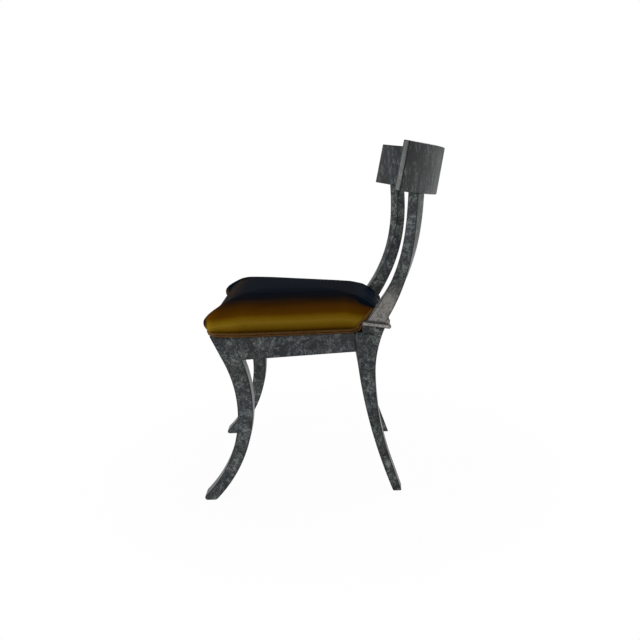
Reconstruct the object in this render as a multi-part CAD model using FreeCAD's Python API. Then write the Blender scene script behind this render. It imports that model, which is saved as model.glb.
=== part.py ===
"""Klismos side chair: sabre legs, curved stiles, canted crest rail and a tight crowned seat.

Millimetres, +Z up. The front of the chair faces -Y and the sitter's left is +X.
"""
import FreeCAD, Part
import math
import os

from FreeCAD import Placement, Rotation, Vector

# Front legs, seen from the side: two arcs, hollow to the front
FRONT_LEG_FACE_RADIUS = 312.0      # hollow front edge
FRONT_LEG_FACE_WAIST_Y = -231.6    # where that edge is upright
FRONT_LEG_FACE_WAIST_Z = 235.0
FRONT_LEG_BACK_RADIUS = 348.0      # round back edge
FRONT_LEG_BACK_WAIST_Y = -192.3
FRONT_LEG_BACK_WAIST_Z = 250.0
FRONT_LEG_TOP_Y = -291.0
FRONT_LEG_WIDTH_TOP = 50.0
FRONT_LEG_WIDTH_FOOT = 42.0
FRONT_LEG_SPREAD_TOP = 237.0       # half the width over the legs, at the seat
FRONT_LEG_SPREAD_FOOT = 249.5      # the same, on the floor
TOE_ROUND = 7.0
HEEL_ROUND = 3.0

# Rear legs
REAR_LEG_BACK_WAIST_Y = 123.0
REAR_LEG_BACK_WAIST_Z = 304.0
REAR_LEG_BACK_RADIUS_TOP = 310.0
REAR_LEG_BACK_RADIUS_LOW = 705.0
REAR_LEG_STRAIGHT_Z = 90.0         # below this the back edge runs straight to the floor
REAR_LEG_HEEL_Y = 188.0
REAR_LEG_HEAD_Y = 71.0             # front of the head, behind the side rail
REAR_LEG_FACE_MIDDLE_Y = 97.5
REAR_LEG_FACE_MIDDLE_Z = 215.0
REAR_LEG_TOE_Y = 166.0
REAR_LEG_WIDTH_TOP = 38.0
REAR_LEG_WIDTH_FOOT = 36.0
REAR_LEG_SPREAD_TOP = 174.0
REAR_LEG_SPREAD_FOOT = 224.5
REAR_LEG_TURN = 5.0                # degrees that each rear leg is turned outwards
LEG_BEND_Z = 400.0                 # the legs start to spread outwards below this height

# Seat rails, whose top and bottom edges fall towards the back
RAIL_TOP_FRONT = 432.0
RAIL_TOP_REAR = 417.0
RAIL_BOTTOM_FRONT = 371.0
RAIL_BOTTOM_REAR = 366.0
RAIL_THICKNESS = 24.0
RAIL_BEND_Y = -216.0               # behind this the side rails converge
FRONT_RAIL_SETBACK = 10.0          # behind the front of the leg heads
BACK_RAIL_SETBACK = 12.0           # behind the front of the rear leg heads

# Ledge across the back, with a round nose, under the stiles
LEDGE_THICKNESS = 11.0
LEDGE_FALL = 8.5                   # degrees, down towards the back
LEDGE_FRONT_Y = 90.0
LEDGE_FRONT_TOP_Z = 446.5
LEDGE_NOSE_Y = 164.0
LEDGE_OVERHANG = 3.0               # past the stiles at each end

# Stiles, from the ledge to the crest
STILE_SPREAD_FOOT = 155.0          # centre line, from the middle of the chair
STILE_SPREAD_TOP = 221.0
STILE_SPREAD_POWER = 2.6           # the outward sweep comes in the upper third
STILE_FOOT_Z = 440.0
STILE_TOP_Z = 770.0
STILE_FACE_FOOT_Y = 95.8
STILE_FACE_TOP_Y = 202.3
STILE_SWEEP_POWER = 2.68
STILE_DEPTH_FOOT = 54.0
STILE_DEPTH_TOP = 27.0
STILE_TAPER_POWER = 3.0
STILE_WIDTH_FOOT = 39.0
STILE_WIDTH_TOP = 34.0
STILE_TWIST_POWER = 1.5
STILE_STATIONS = 9
STILE_OVERRUN = 0.06               # share of its height left on each end for fitting
STILE_BEAD_RADIUS = 7.5            # rounded moulding behind the stile's foot
STILE_BEAD_SETBACK = 4.0
CREST_TENON_LENGTH = 32.0
CREST_TENON_WIDTH = 22.0
TENON_THICKNESS = 11.0
FOOT_TENON_LENGTH = 40.0
FOOT_TENON_WIDTH = 26.0
FOOT_TENON_FRONT_Y = 104.0

# Crest rail, sawn to one radius front and back
CREST_RADIUS = 408.0
CREST_DEPTH = 24.5
CREST_TILT = 10.3                  # degrees back from upright
CREST_HEIGHT_MIDDLE = 118.5
CREST_HEIGHT_END = 114.8
CREST_HALF_WIDTH_BOTTOM = 284.0
CREST_HALF_WIDTH_TOP = 281.0
CREST_BACK_Y = 300.2               # lower back edge, in the middle
CREST_BACK_Z = 753.3

# Seat
DECK_THICKNESS = 12.0
DECK_MARGIN = 14.0
COVER_THICKNESS = 1.6
SEAT_HEIGHT = 95.0                 # crown above the rails
# Shares of the seat's height, each with the inset of the outline there
SEAT_PROFILE = [(0.0, 4.0), (0.12, 0.0), (0.36, -6.0), (0.56, 3.0), (0.75, 27.0), (0.91, 74.0),
                (1.0, 150.0)]
SEAT_BACK_SHARE = 0.95             # the back edge is drawn in less than the sides
SEAT_FRONT_Y = -297.0              # front corners at the welt
SEAT_FRONT_HOLLOW = 16.0           # the front edge lies this far behind its corners
SEAT_CORNER_RADIUS = 24.0
SEAT_HORN_WIDTH = 46.0
SEAT_HORN_RUN = 13.0               # over this the front edge comes forward to a corner
SEAT_HORN_FADE = 40.0              # inset over which the corners blend into the crown
SEAT_LEAST_HOLLOW = 1.0
SEAT_SIDE_BEND_RADIUS = 120.0
SEAT_BACK_Y = 147.0
SEAT_GAP = 0.6                     # between the upholstery and the stiles
# Heights over the ledge at which the welt climbs a stile, and its places across the stile
SEAM_RISES = [3.0, 16.0]
SEAM_OVER = [0.15, 1.0]
SEAM_LIFT = 0.5                    # keeps the cord clear of the cover beside it
WELT_DIAMETER = 5.6
SEAT_WELT_LEAN = 1.8               # the upper row stands this much further out
DUST_COVER_THICKNESS = 0.8
DUST_COVER_MARGIN = 6.0

# Joinery
DOWEL_DIAMETER = 10.0
DOWEL_LENGTH = 40.0
DOWEL_SPACING = 28.0
BLOCK_LEG = 96.0                   # run of a corner block along each rail
BLOCK_HEIGHT = 34.0
PIN_FLATS = 8                      # dowels and screws are drawn with flats
CORD_FLATS = 6                     # and so are the cords of the welt
SCREW_DIAMETER = 4.5
SCREW_HEAD_DIAMETER = 9.0
SCREW_HEAD_HEIGHT = 3.0
SCREW_BITE = 9.0                   # how far a seat screw runs into the deck
BLOCK_SCREW_LENGTH = 34.0
SCREW_SEAT = 18.0                  # from a screw's head to the rail's face
SCREW_POCKET = 6.0                 # depth of the pocket for a seat screw's head
SCREW_PLACE = 0.7                  # share of the block's run
SEAT_SCREW_PLACE = 0.4

FITTING = 12.0                     # waste left on a blank before it is fitted
REACH = 900.0                      # longer than the chair, for cutting shapes


def face_of(edges):
    """A flat face inside a closed run of edges."""
    return Part.Face(Part.Wire(Part.__sortEdges__(edges)))


def line(start, end):
    return Part.LineSegment(start, end).toShape()


def arc(start, middle, end):
    return Part.Arc(start, middle, end).toShape()


def polygon(points):
    return Part.Face(Part.makePolygon(points + points[:1]))


def side(y, z):
    """A point of a side view, on the chair's middle plane."""
    return Vector(0, y, z)


def front(x, z):
    """A point of a front view."""
    return Vector(x, 0, z)


def across(face):
    """Carry a side view right across the chair."""
    prism = face.extrude(Vector(2 * REACH, 0, 0))
    prism.translate(Vector(-REACH, 0, 0))
    return prism


def through(face):
    """Carry a front view right through the chair, front to back."""
    prism = face.extrude(Vector(0, 2 * REACH, 0))
    prism.translate(Vector(0, -REACH, 0))
    return prism


def mirrored(shape):
    return shape.mirror(Vector(0, 0, 0), Vector(1, 0, 0))


def bulge_y(waist_y, waist_z, radius, z):
    """Y of an upright arc that is hollow towards the front, at height z."""
    return waist_y - radius + math.sqrt(radius ** 2 - (z - waist_z) ** 2)


def rail_top(y):
    """Height of the rails' top edge at y."""
    share = (y - FRONT_LEG_TOP_Y) / (REAR_LEG_HEAD_Y - FRONT_LEG_TOP_Y)
    return RAIL_TOP_FRONT + share * (RAIL_TOP_REAR - RAIL_TOP_FRONT)


def rail_bottom(y):
    share = (y - FRONT_LEG_TOP_Y) / (REAR_LEG_HEAD_Y - FRONT_LEG_TOP_Y)
    return RAIL_BOTTOM_FRONT + share * (RAIL_BOTTOM_REAR - RAIL_BOTTOM_FRONT)


def ledge_top(y):
    return LEDGE_FRONT_TOP_Z - (y - LEDGE_FRONT_Y) * math.tan(math.radians(LEDGE_FALL))


def below_rail_tops():
    """Everything under the plane of the rails' top edges."""
    return across(polygon([side(-REACH, -10), side(REACH, -10),
                           side(REACH, rail_top(REACH)), side(-REACH, rail_top(-REACH))]))


def between_rail_edges():
    """The layer of space from the rails' bottom edges to their top edges."""
    return across(polygon([side(-REACH, rail_bottom(-REACH)), side(REACH, rail_bottom(REACH)),
                           side(REACH, rail_top(REACH)), side(-REACH, rail_top(-REACH))]))


def spread_x(top_x, foot_x, z):
    """X of a leg's side at height z: it leaves the upright at the bend, on an arc."""
    sweep = abs(foot_x - top_x)
    radius = (LEG_BEND_Z ** 2 + sweep ** 2) / (2 * sweep)
    step = radius - math.sqrt(radius ** 2 - (LEG_BEND_Z - z) ** 2)
    return top_x + math.copysign(step, foot_x - top_x)


def spread_prism(outer_top, outer_foot, width_top, width_foot, top):
    """Front view of a leg: upright to the bend, then arcs outwards past the floor."""
    inner_top = outer_top - width_top
    inner_foot = outer_foot - width_foot
    low = -FITTING

    def leaning(top_x, foot_x):
        middle = LEG_BEND_Z / 2
        return arc(front(top_x, LEG_BEND_Z), front(spread_x(top_x, foot_x, middle), middle),
                   front(spread_x(top_x, foot_x, low), low))

    outer_low = front(spread_x(outer_top, outer_foot, low), low)
    inner_low = front(spread_x(inner_top, inner_foot, low), low)
    return through(face_of([
        line(front(inner_top, top), front(outer_top, top)),
        line(front(outer_top, top), front(outer_top, LEG_BEND_Z)),
        leaning(outer_top, outer_foot), line(outer_low, inner_low),
        leaning(inner_top, inner_foot),
        line(front(inner_top, LEG_BEND_Z), front(inner_top, top))]))


def tangent_point(centre, radius, outside):
    """Lower point where a line from a point outside a circle touches it, in a side view."""
    away = outside - centre
    angle = math.atan2(away.z, away.y) - math.acos(radius / away.Length)
    return centre + side(radius * math.cos(angle), radius * math.sin(angle))


def front_leg():
    """Left front leg: a sabre curve sawn from the side, then spread from the front."""
    def face_y(z):
        return bulge_y(FRONT_LEG_FACE_WAIST_Y, FRONT_LEG_FACE_WAIST_Z, FRONT_LEG_FACE_RADIUS, z)

    def back_y(z):
        return bulge_y(FRONT_LEG_BACK_WAIST_Y, FRONT_LEG_BACK_WAIST_Z, FRONT_LEG_BACK_RADIUS, z)

    centre = side(FRONT_LEG_FACE_WAIST_Y - FRONT_LEG_FACE_RADIUS, FRONT_LEG_FACE_WAIST_Z)
    shoulder = side(FRONT_LEG_TOP_Y, RAIL_TOP_FRONT)
    bend = tangent_point(centre, FRONT_LEG_FACE_RADIUS, shoulder)
    tip = shoulder + (shoulder - bend).normalize() * FITTING
    waste = side(back_y(tip.z), tip.z)
    waist = side(FRONT_LEG_FACE_WAIST_Y, FRONT_LEG_FACE_WAIST_Z)
    back_waist = side(FRONT_LEG_BACK_WAIST_Y, FRONT_LEG_BACK_WAIST_Z)
    outline = face_of([
        arc(side(face_y(0), 0), waist, bend), line(bend, tip), line(tip, waste),
        arc(waste, back_waist, side(back_y(0), 0)),
        line(side(back_y(0), 0), side(face_y(0), 0))])
    blank = round_sole(across(outline), TOE_ROUND, HEEL_ROUND)
    leg = blank.common(spread_prism(FRONT_LEG_SPREAD_TOP, FRONT_LEG_SPREAD_FOOT,
                                    FRONT_LEG_WIDTH_TOP, FRONT_LEG_WIDTH_FOOT, tip.z))
    return leg.common(below_rail_tops())


def round_sole(blank, toe_radius, heel_radius):
    """Round the two ends of a sole on a leg's long blank."""
    soles = sorted([edge for edge in blank.Edges
                    if edge.BoundBox.ZMax < HEEL_ROUND / 10 and edge.BoundBox.XLength > REACH],
                   key=lambda edge: edge.BoundBox.YMin)
    blank = blank.makeFillet(toe_radius, soles[:1])
    soles = sorted([edge for edge in blank.Edges
                    if edge.BoundBox.ZMax < HEEL_ROUND / 10 and edge.BoundBox.XLength > REACH],
                   key=lambda edge: edge.BoundBox.YMin)
    return blank.makeFillet(heel_radius, soles[-1:])


def rear_leg():
    """Left rear leg: a raked sabre with a wide head, turned a little outwards."""
    top = LEDGE_FRONT_TOP_Z
    waist = side(REAR_LEG_BACK_WAIST_Y, REAR_LEG_BACK_WAIST_Z)

    def upper_y(z):
        radius = REAR_LEG_BACK_RADIUS_TOP
        return waist.y + radius - math.sqrt(radius ** 2 - (z - waist.z) ** 2)

    def lower_y(z):
        radius = REAR_LEG_BACK_RADIUS_LOW
        return waist.y + radius - math.sqrt(radius ** 2 - (z - waist.z) ** 2)

    high = (top + waist.z) / 2
    low = (REAR_LEG_STRAIGHT_Z + waist.z) / 2
    straight_y = lower_y(REAR_LEG_STRAIGHT_Z)
    outline = face_of([
        line(side(REAR_LEG_HEAD_Y, top), side(upper_y(top), top)),
        arc(side(upper_y(top), top), side(upper_y(high), high), waist),
        arc(waist, side(lower_y(low), low), side(straight_y, REAR_LEG_STRAIGHT_Z)),
        line(side(straight_y, REAR_LEG_STRAIGHT_Z), side(REAR_LEG_HEEL_Y, 0)),
        line(side(REAR_LEG_HEEL_Y, 0), side(REAR_LEG_TOE_Y, 0)),
        arc(side(REAR_LEG_TOE_Y, 0), side(REAR_LEG_FACE_MIDDLE_Y, REAR_LEG_FACE_MIDDLE_Z),
            side(REAR_LEG_HEAD_Y, RAIL_TOP_REAR)),
        line(side(REAR_LEG_HEAD_Y, RAIL_TOP_REAR), side(REAR_LEG_HEAD_Y, top))])
    blank = round_sole(across(outline), HEEL_ROUND, HEEL_ROUND)
    leg = turned_with_leg(blank).common(
        spread_prism(REAR_LEG_SPREAD_TOP, REAR_LEG_SPREAD_FOOT,
                     REAR_LEG_WIDTH_TOP, REAR_LEG_WIDTH_FOOT, top))
    return leg.cut(over_rails_and_ledge_seat())


def over_rails_and_ledge_seat():
    """Space over the rails in front of the ledge, and over the ledge's underside behind."""
    rise = LEDGE_THICKNESS / math.cos(math.radians(LEDGE_FALL))
    return across(polygon([
        side(-REACH, rail_top(-REACH)), side(LEDGE_FRONT_Y, rail_top(LEDGE_FRONT_Y)),
        side(LEDGE_FRONT_Y, ledge_top(LEDGE_FRONT_Y) - rise),
        side(REACH, ledge_top(REACH) - rise), side(REACH, REACH), side(-REACH, REACH)]))


def rail_line():
    """Left side rail in plan: a point of its outer face, its run and its inward normal."""
    start = Vector(FRONT_LEG_SPREAD_TOP, RAIL_BEND_Y, 0)
    end = Vector(REAR_LEG_SPREAD_TOP, REAR_LEG_HEAD_Y, 0)
    run = (end - start).normalize()
    return start, run, Vector(-run.y, run.x, 0)


def on_rail(y, inwards):
    """Plan point at y, a distance inwards from the left side rail's outer face."""
    start, run, inward = rail_line()
    base = start + inward * inwards
    return base + run * ((y - base.y) / run.y)


def side_rail():
    """Left side rail, converging to the back, fitted between the two legs."""
    plan = polygon([on_rail(-REACH, 0), on_rail(REACH, 0), on_rail(REACH, RAIL_THICKNESS),
                    on_rail(-REACH, RAIL_THICKNESS)])
    plank = plan.extrude(Vector(0, 0, REACH)).common(between_rail_edges())
    plank = plank.common(slab(FRONT_LEG_SPREAD_TOP))
    return plank.cut(front_leg_space()).cut(rear_leg_space())


def front_leg_space():
    """Space in front of the back edge of the front legs."""
    low = RAIL_BOTTOM_REAR - FITTING
    high = RAIL_TOP_FRONT + FITTING

    def back_y(z):
        return bulge_y(FRONT_LEG_BACK_WAIST_Y, FRONT_LEG_BACK_WAIST_Z, FRONT_LEG_BACK_RADIUS, z)

    middle = (low + high) / 2
    return across(face_of([
        arc(side(back_y(low), low), side(back_y(middle), middle), side(back_y(high), high)),
        line(side(back_y(high), high), side(-REACH, high)),
        line(side(-REACH, high), side(-REACH, low)),
        line(side(-REACH, low), side(back_y(low), low))]))


def rear_leg_space():
    """Space behind the front of the left rear leg's head."""
    head_low = side(REAR_LEG_HEAD_Y, RAIL_TOP_REAR)
    head_high = side(REAR_LEG_HEAD_Y, REACH)
    space = across(face_of([
        arc(side(REAR_LEG_TOE_Y, 0), side(REAR_LEG_FACE_MIDDLE_Y, REAR_LEG_FACE_MIDDLE_Z),
            head_low),
        line(head_low, head_high), line(head_high, side(REACH, REACH)),
        line(side(REACH, REACH), side(REACH, 0)),
        line(side(REACH, 0), side(REAR_LEG_TOE_Y, 0))]))
    return turned_with_leg(space)


def turned_with_leg(shape):
    shape.rotate(Vector(REAR_LEG_SPREAD_TOP, REAR_LEG_HEAD_Y, 0), Vector(0, 0, 1),
                 -REAR_LEG_TURN)
    return shape


def front_rail_y(z):
    """Y of the front rail's raked front face at height z."""
    low_y = bulge_y(FRONT_LEG_FACE_WAIST_Y, FRONT_LEG_FACE_WAIST_Z, FRONT_LEG_FACE_RADIUS,
                    RAIL_BOTTOM_REAR)
    share = (z - RAIL_BOTTOM_REAR) / (RAIL_TOP_FRONT - RAIL_BOTTOM_REAR)
    return low_y + share * (FRONT_LEG_TOP_Y - low_y) + FRONT_RAIL_SETBACK


def front_rail():
    """Front rail, raked like the front of the legs and let in behind it."""
    low = RAIL_BOTTOM_REAR
    high = RAIL_TOP_FRONT
    profile = polygon([side(front_rail_y(low), low),
                       side(front_rail_y(low) + RAIL_THICKNESS, low),
                       side(front_rail_y(high) + RAIL_THICKNESS, high),
                       side(front_rail_y(high), high)])
    half = FRONT_LEG_SPREAD_TOP - FRONT_LEG_WIDTH_TOP
    return across(profile).common(between_rail_edges()).common(slab(half))


def slab(half_width):
    """Space within half_width of the middle plane."""
    return Part.makeBox(2 * half_width, 2 * REACH, 2 * REACH,
                        Vector(-half_width, -REACH, -REACH))


def back_rail():
    """Back rail under the ledge, between the rear leg heads."""
    face = REAR_LEG_HEAD_Y + BACK_RAIL_SETBACK
    half = REAR_LEG_SPREAD_TOP - REAR_LEG_WIDTH_TOP
    plank = Part.makeBox(2 * half, RAIL_THICKNESS, REACH, Vector(-half, face, 0))
    below = across(polygon([side(-REACH, -REACH), side(REACH, -REACH),
                            side(REACH, rail_bottom(REACH)), side(-REACH, rail_bottom(-REACH))]))
    return plank.cut(below).cut(over_rails_and_ledge_seat())


def back_ledge():
    """Ledge moulding across the back, sloping back to a round nose."""
    fall = math.radians(LEDGE_FALL)
    down = Vector(0, -math.sin(fall), -math.cos(fall)) * LEDGE_THICKNESS
    radius = LEDGE_THICKNESS / 2
    start = side(LEDGE_FRONT_Y, ledge_top(LEDGE_FRONT_Y))
    nose_y = LEDGE_NOSE_Y - radius
    end = side(nose_y, ledge_top(nose_y))
    tip = end + down * 0.5 + Vector(0, math.cos(fall), -math.sin(fall)) * radius
    lower_start = side(LEDGE_FRONT_Y, ledge_top(LEDGE_FRONT_Y) - LEDGE_THICKNESS / math.cos(fall))
    section = face_of([line(start, end), arc(end, tip, end + down),
                       line(end + down, lower_start), line(lower_start, start)])
    reach = STILE_SPREAD_FOOT + STILE_WIDTH_FOOT / 2 + LEDGE_OVERHANG
    return across(section).common(slab(reach))


def crest_angle():
    """Turn of the crest's face where a stile meets it, in degrees."""
    return math.degrees(math.asin(STILE_SPREAD_TOP / CREST_RADIUS))


def stile_section(share, grow=0.0):
    """Outline of a stile at a share of its height, grown all round by a clearance."""
    rest = 1 - share
    rise = max(share, 0.0)
    depth = STILE_DEPTH_TOP + (STILE_DEPTH_FOOT - STILE_DEPTH_TOP) * max(rest, 0) ** STILE_TAPER_POWER
    width = STILE_WIDTH_FOOT + (STILE_WIDTH_TOP - STILE_WIDTH_FOOT) * share
    reach = (STILE_FACE_TOP_Y - STILE_FACE_FOOT_Y) * max(rest, 0) ** STILE_SWEEP_POWER
    turn = math.radians(crest_angle()) * math.sin(min(rise, 1) * math.pi / 2) ** STILE_TWIST_POWER
    along = Vector(math.cos(turn), -math.sin(turn), 0)
    back = Vector(math.sin(turn), math.cos(turn), 0)
    spread = STILE_SPREAD_FOOT + (STILE_SPREAD_TOP - STILE_SPREAD_FOOT) * rise ** STILE_SPREAD_POWER
    outer_face_y = STILE_FACE_TOP_Y - reach
    middle_y = outer_face_y + width / 2 * math.sin(turn) + depth / 2 * math.cos(turn)
    middle = Vector(spread, middle_y, STILE_FOOT_Z + share * (STILE_TOP_Z - STILE_FOOT_Z))
    half = along * (width / 2 + grow)
    deep = back * (depth / 2 + grow)
    corners = [middle - half - deep, middle + half - deep, middle + half + deep,
               middle - half + deep]
    return Part.makePolygon(corners + corners[:1])


def stile_blank(grow=0.0):
    """The swept and twisted stile, longer than it finishes at both ends."""
    first = -STILE_OVERRUN
    step = (1 + 2 * STILE_OVERRUN) / (STILE_STATIONS - 1)
    sections = [stile_section(first + step * number, grow) for number in range(STILE_STATIONS)]
    return Part.makeLoft(sections, True, False)


def crest_frame():
    """Place of the crest's own frame: tilted back about its lower back edge."""
    return Placement(Vector(0, CREST_BACK_Y, CREST_BACK_Z),
                     Rotation(Vector(1, 0, 0), -CREST_TILT))


def crest_tenon():
    """Tenon on the left stile's top, square to the crest's lower edge."""
    turn = crest_angle()
    angle = math.radians(turn)
    middle = Vector(CREST_RADIUS * math.sin(angle),
                    CREST_RADIUS * (math.cos(angle) - 1) - CREST_DEPTH / 2, 0)
    tenon = Part.makeBox(CREST_TENON_WIDTH, TENON_THICKNESS, 2 * CREST_TENON_LENGTH,
                         Vector(-CREST_TENON_WIDTH / 2, -TENON_THICKNESS / 2,
                                -CREST_TENON_LENGTH))
    tenon.rotate(Vector(0, 0, 0), Vector(0, 0, 1), -turn)
    tenon.translate(middle)
    tenon.Placement = crest_frame().multiply(tenon.Placement)
    return tenon


def foot_tenon():
    """Tenon under the left stile's foot, through the ledge and into the leg."""
    low = ledge_top(FOOT_TENON_FRONT_Y) - FOOT_TENON_LENGTH
    return Part.makeBox(TENON_THICKNESS, FOOT_TENON_WIDTH, 2 * FOOT_TENON_LENGTH,
                        Vector(STILE_SPREAD_FOOT - TENON_THICKNESS / 2, FOOT_TENON_FRONT_Y, low))


def under_crest():
    """Space under the plane of the crest's lower edge."""
    space = Part.makeBox(2 * REACH, 2 * REACH, REACH, Vector(-REACH, -REACH, -REACH))
    space.Placement = crest_frame().multiply(space.Placement)
    return space


def over_ledge():
    """Space over the ledge's top face."""
    return across(polygon([side(-REACH, ledge_top(-REACH)), side(REACH, ledge_top(REACH)),
                           side(REACH, 2 * REACH), side(-REACH, 2 * REACH)]))


def stile():
    """Left stile: sweeps back, then outwards, turning until it faces the crest's curve."""
    bead_y = STILE_FACE_FOOT_Y + STILE_DEPTH_FOOT + STILE_BEAD_SETBACK
    base_z = ledge_top(bead_y)
    inner = STILE_SPREAD_FOOT - STILE_WIDTH_FOOT / 2
    bead = Part.makeCylinder(STILE_BEAD_RADIUS, STILE_WIDTH_FOOT,
                             Vector(inner, bead_y, base_z + STILE_BEAD_RADIUS), Vector(1, 0, 0))
    web = Part.makeBox(STILE_WIDTH_FOOT, STILE_DEPTH_FOOT / 2, 2 * STILE_BEAD_RADIUS,
                       Vector(inner, bead_y - STILE_DEPTH_FOOT / 2, base_z))
    body = stile_blank().fuse([bead, web]).common(over_ledge()).common(under_crest())
    body = body.fuse([crest_tenon().cut(under_crest()), foot_tenon().cut(over_ledge())])
    return body.removeSplitter()


def crest_plan(half_width, height):
    """Plan outline of the crest at a height in its own frame, with radial ends."""
    centre = Vector(0, -CREST_DEPTH - CREST_RADIUS, height)
    turn = math.asin(half_width / CREST_RADIUS)
    offset = CREST_DEPTH * math.cos(turn)
    reach = offset + math.sqrt(offset ** 2 - CREST_DEPTH ** 2 + CREST_RADIUS ** 2)
    ray = Vector(math.sin(turn), math.cos(turn), 0)
    other = Vector(-ray.x, ray.y, 0)
    inner = [centre + other * CREST_RADIUS, centre + Vector(0, CREST_RADIUS, 0),
             centre + ray * CREST_RADIUS]
    outer = [centre + ray * reach, Vector(0, 0, height), centre + other * reach]
    return Part.Wire([arc(*inner), line(inner[-1], outer[0]), arc(*outer),
                      line(outer[-1], inner[0])])


def crest_rail():
    """Crest rail: a curved plank with radial ends, its top edge a little crowned."""
    flare = (CREST_HALF_WIDTH_TOP - CREST_HALF_WIDTH_BOTTOM) / CREST_HEIGHT_MIDDLE
    over = CREST_HEIGHT_MIDDLE + FITTING
    plank = Part.makeLoft([crest_plan(CREST_HALF_WIDTH_BOTTOM, 0),
                           crest_plan(CREST_HALF_WIDTH_BOTTOM + flare * over, over)],
                          True, True)
    wide = CREST_HALF_WIDTH_TOP
    end_sag = CREST_HEIGHT_MIDDLE - CREST_HEIGHT_END
    beyond = front(wide + FITTING, CREST_HEIGHT_END - end_sag * 2 * FITTING / wide)
    mirror_beyond = front(-beyond.x, beyond.z)
    outline = face_of([
        arc(mirror_beyond, front(0, CREST_HEIGHT_MIDDLE), beyond),
        line(beyond, front(beyond.x, 0)), line(front(beyond.x, 0), front(-beyond.x, 0)),
        line(front(-beyond.x, 0), mirror_beyond)])
    crest = plank.common(through(outline))
    crest.Placement = crest_frame().multiply(crest.Placement)
    return crest


def rounded(points, radii, closed=False):
    """A run of lines through the points, with an arc at each corner whose radius isn't 0."""
    count = len(points)
    corners = range(count) if closed else range(1, count - 1)
    edges = []
    last = None if closed else points[0]
    first = None
    for number in corners:
        corner = points[number]
        if radii[number] == 0:
            if last is not None:
                edges.append(line(last, corner))
            first = corner if first is None else first
            last = corner
            continue
        before = (points[number - 1] - corner).normalize()
        after = (points[(number + 1) % count] - corner).normalize()
        half = before.getAngle(after) / 2
        tangent = radii[number] / math.tan(half)
        bisector = (before + after).normalize()
        middle = corner + bisector * (radii[number] / math.sin(half) - radii[number])
        start = corner + before * tangent
        end = corner + after * tangent
        if last is not None:
            edges.append(line(last, start))
        first = start if first is None else first
        edges.append(arc(start, middle, end))
        last = end
    edges.append(line(last, first if closed else points[-1]))
    return Part.Wire(edges)


def seat_corners(inset=0.0, back_inset=0.0):
    """Left half of the seat's plan, front to back, drawn in at the sides, front and back.

    At the first two corners the front edge comes forward, and at the fourth the side
    turns inwards.
    """
    hollow = SEAT_FRONT_HOLLOW * math.exp(-max(inset, 0) / SEAT_HORN_FADE) + SEAT_LEAST_HOLLOW
    half = FRONT_LEG_SPREAD_TOP
    horn = half - SEAT_HORN_WIDTH
    narrow = 1 - inset / half
    shorten = 1 - (inset + back_inset) / (SEAT_BACK_Y - SEAT_FRONT_Y)
    corners = [(Vector(horn, SEAT_FRONT_Y + hollow / shorten, 0), SEAT_CORNER_RADIUS),
               (Vector(horn + SEAT_HORN_RUN, SEAT_FRONT_Y, 0), SEAT_CORNER_RADIUS / 2),
               (Vector(half, SEAT_FRONT_Y, 0), SEAT_CORNER_RADIUS),
               (Vector(half, RAIL_BEND_Y, 0), SEAT_SIDE_BEND_RADIUS),
               (on_rail(SEAT_BACK_Y, 0), SEAT_CORNER_RADIUS / 2)]
    return [(Vector(point.x * narrow,
                    SEAT_FRONT_Y + inset + (point.y - SEAT_FRONT_Y) * shorten, 0),
             radius * narrow) for point, radius in corners]


def seat_outline(height, inset, back_inset):
    left = seat_corners(inset, back_inset)
    right = [(Vector(-point.x, point.y, 0), radius) for point, radius in reversed(left)]
    points = [point + Vector(0, 0, height) for point, radius in left + right]
    radii = [radius for point, radius in left + right]
    for number in (0, 1, 3, -4, -2, -1):
        radii[number] = 0
    return rounded(points, radii, True)


def rail_frame():
    """Place of a frame on the plane of the rails' top edges."""
    fall = math.degrees(math.atan2(RAIL_TOP_REAR - RAIL_TOP_FRONT,
                                   REAR_LEG_HEAD_Y - FRONT_LEG_TOP_Y))
    return Placement(Vector(0, 0, rail_top(0)), Rotation(Vector(1, 0, 0), fall))


def seat_form(skin):
    """The crowned seat, drawn in below and above its bulge, made smaller by a skin."""
    sections = [seat_outline(share * (SEAT_HEIGHT - skin), inset + skin,
                             inset * SEAT_BACK_SHARE + skin)
                for share, inset in SEAT_PROFILE]
    form = Part.makeLoft(sections, True, True)
    form.Placement = rail_frame().multiply(form.Placement)
    return form


def stile_clearance(gap):
    """Both stiles, grown by a gap."""
    left = stile_blank(gap)
    return left.fuse(mirrored(left))


def under_seat():
    """Space under the rails' top plane, and under the ledge's top face behind."""
    low = across(polygon([side(-REACH, -REACH), side(REACH, -REACH),
                          side(REACH, rail_top(REACH)), side(-REACH, rail_top(-REACH))]))
    ledge = across(polygon([side(LEDGE_FRONT_Y, -REACH), side(REACH, -REACH),
                            side(REACH, ledge_top(REACH)),
                            side(LEDGE_FRONT_Y, LEDGE_FRONT_TOP_Z)]))
    return low.fuse(ledge)


def largest(shape):
    return max(shape.Solids, key=lambda solid: solid.Volume)


def seat_deck():
    """Plywood deck on the rails, in front of the back rail."""
    back = REAR_LEG_HEAD_Y + BACK_RAIL_SETBACK
    corners = seat_corners(DECK_MARGIN, SEAT_BACK_Y - back)
    left = [point for point, radius in corners]
    plan = polygon(left + [Vector(-point.x, point.y, 0) for point in reversed(left)])
    deck = plan.extrude(Vector(0, 0, DECK_THICKNESS))
    deck.Placement = rail_frame().multiply(deck.Placement)
    return deck.common(Part.makeBox(2 * REACH, REACH + back, REACH,
                                    Vector(-REACH, -REACH, 0)))


def upholstery():
    """The satin cover and the foam pad inside it."""
    outer = seat_form(0).cut(stile_clearance(SEAT_GAP)).cut(under_seat())
    inner = seat_form(COVER_THICKNESS).cut(stile_clearance(SEAT_GAP + COVER_THICKNESS))
    inner = largest(inner.cut(under_seat()))
    outer = largest(outer)
    return outer, largest(outer.cut(inner)), inner


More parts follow.
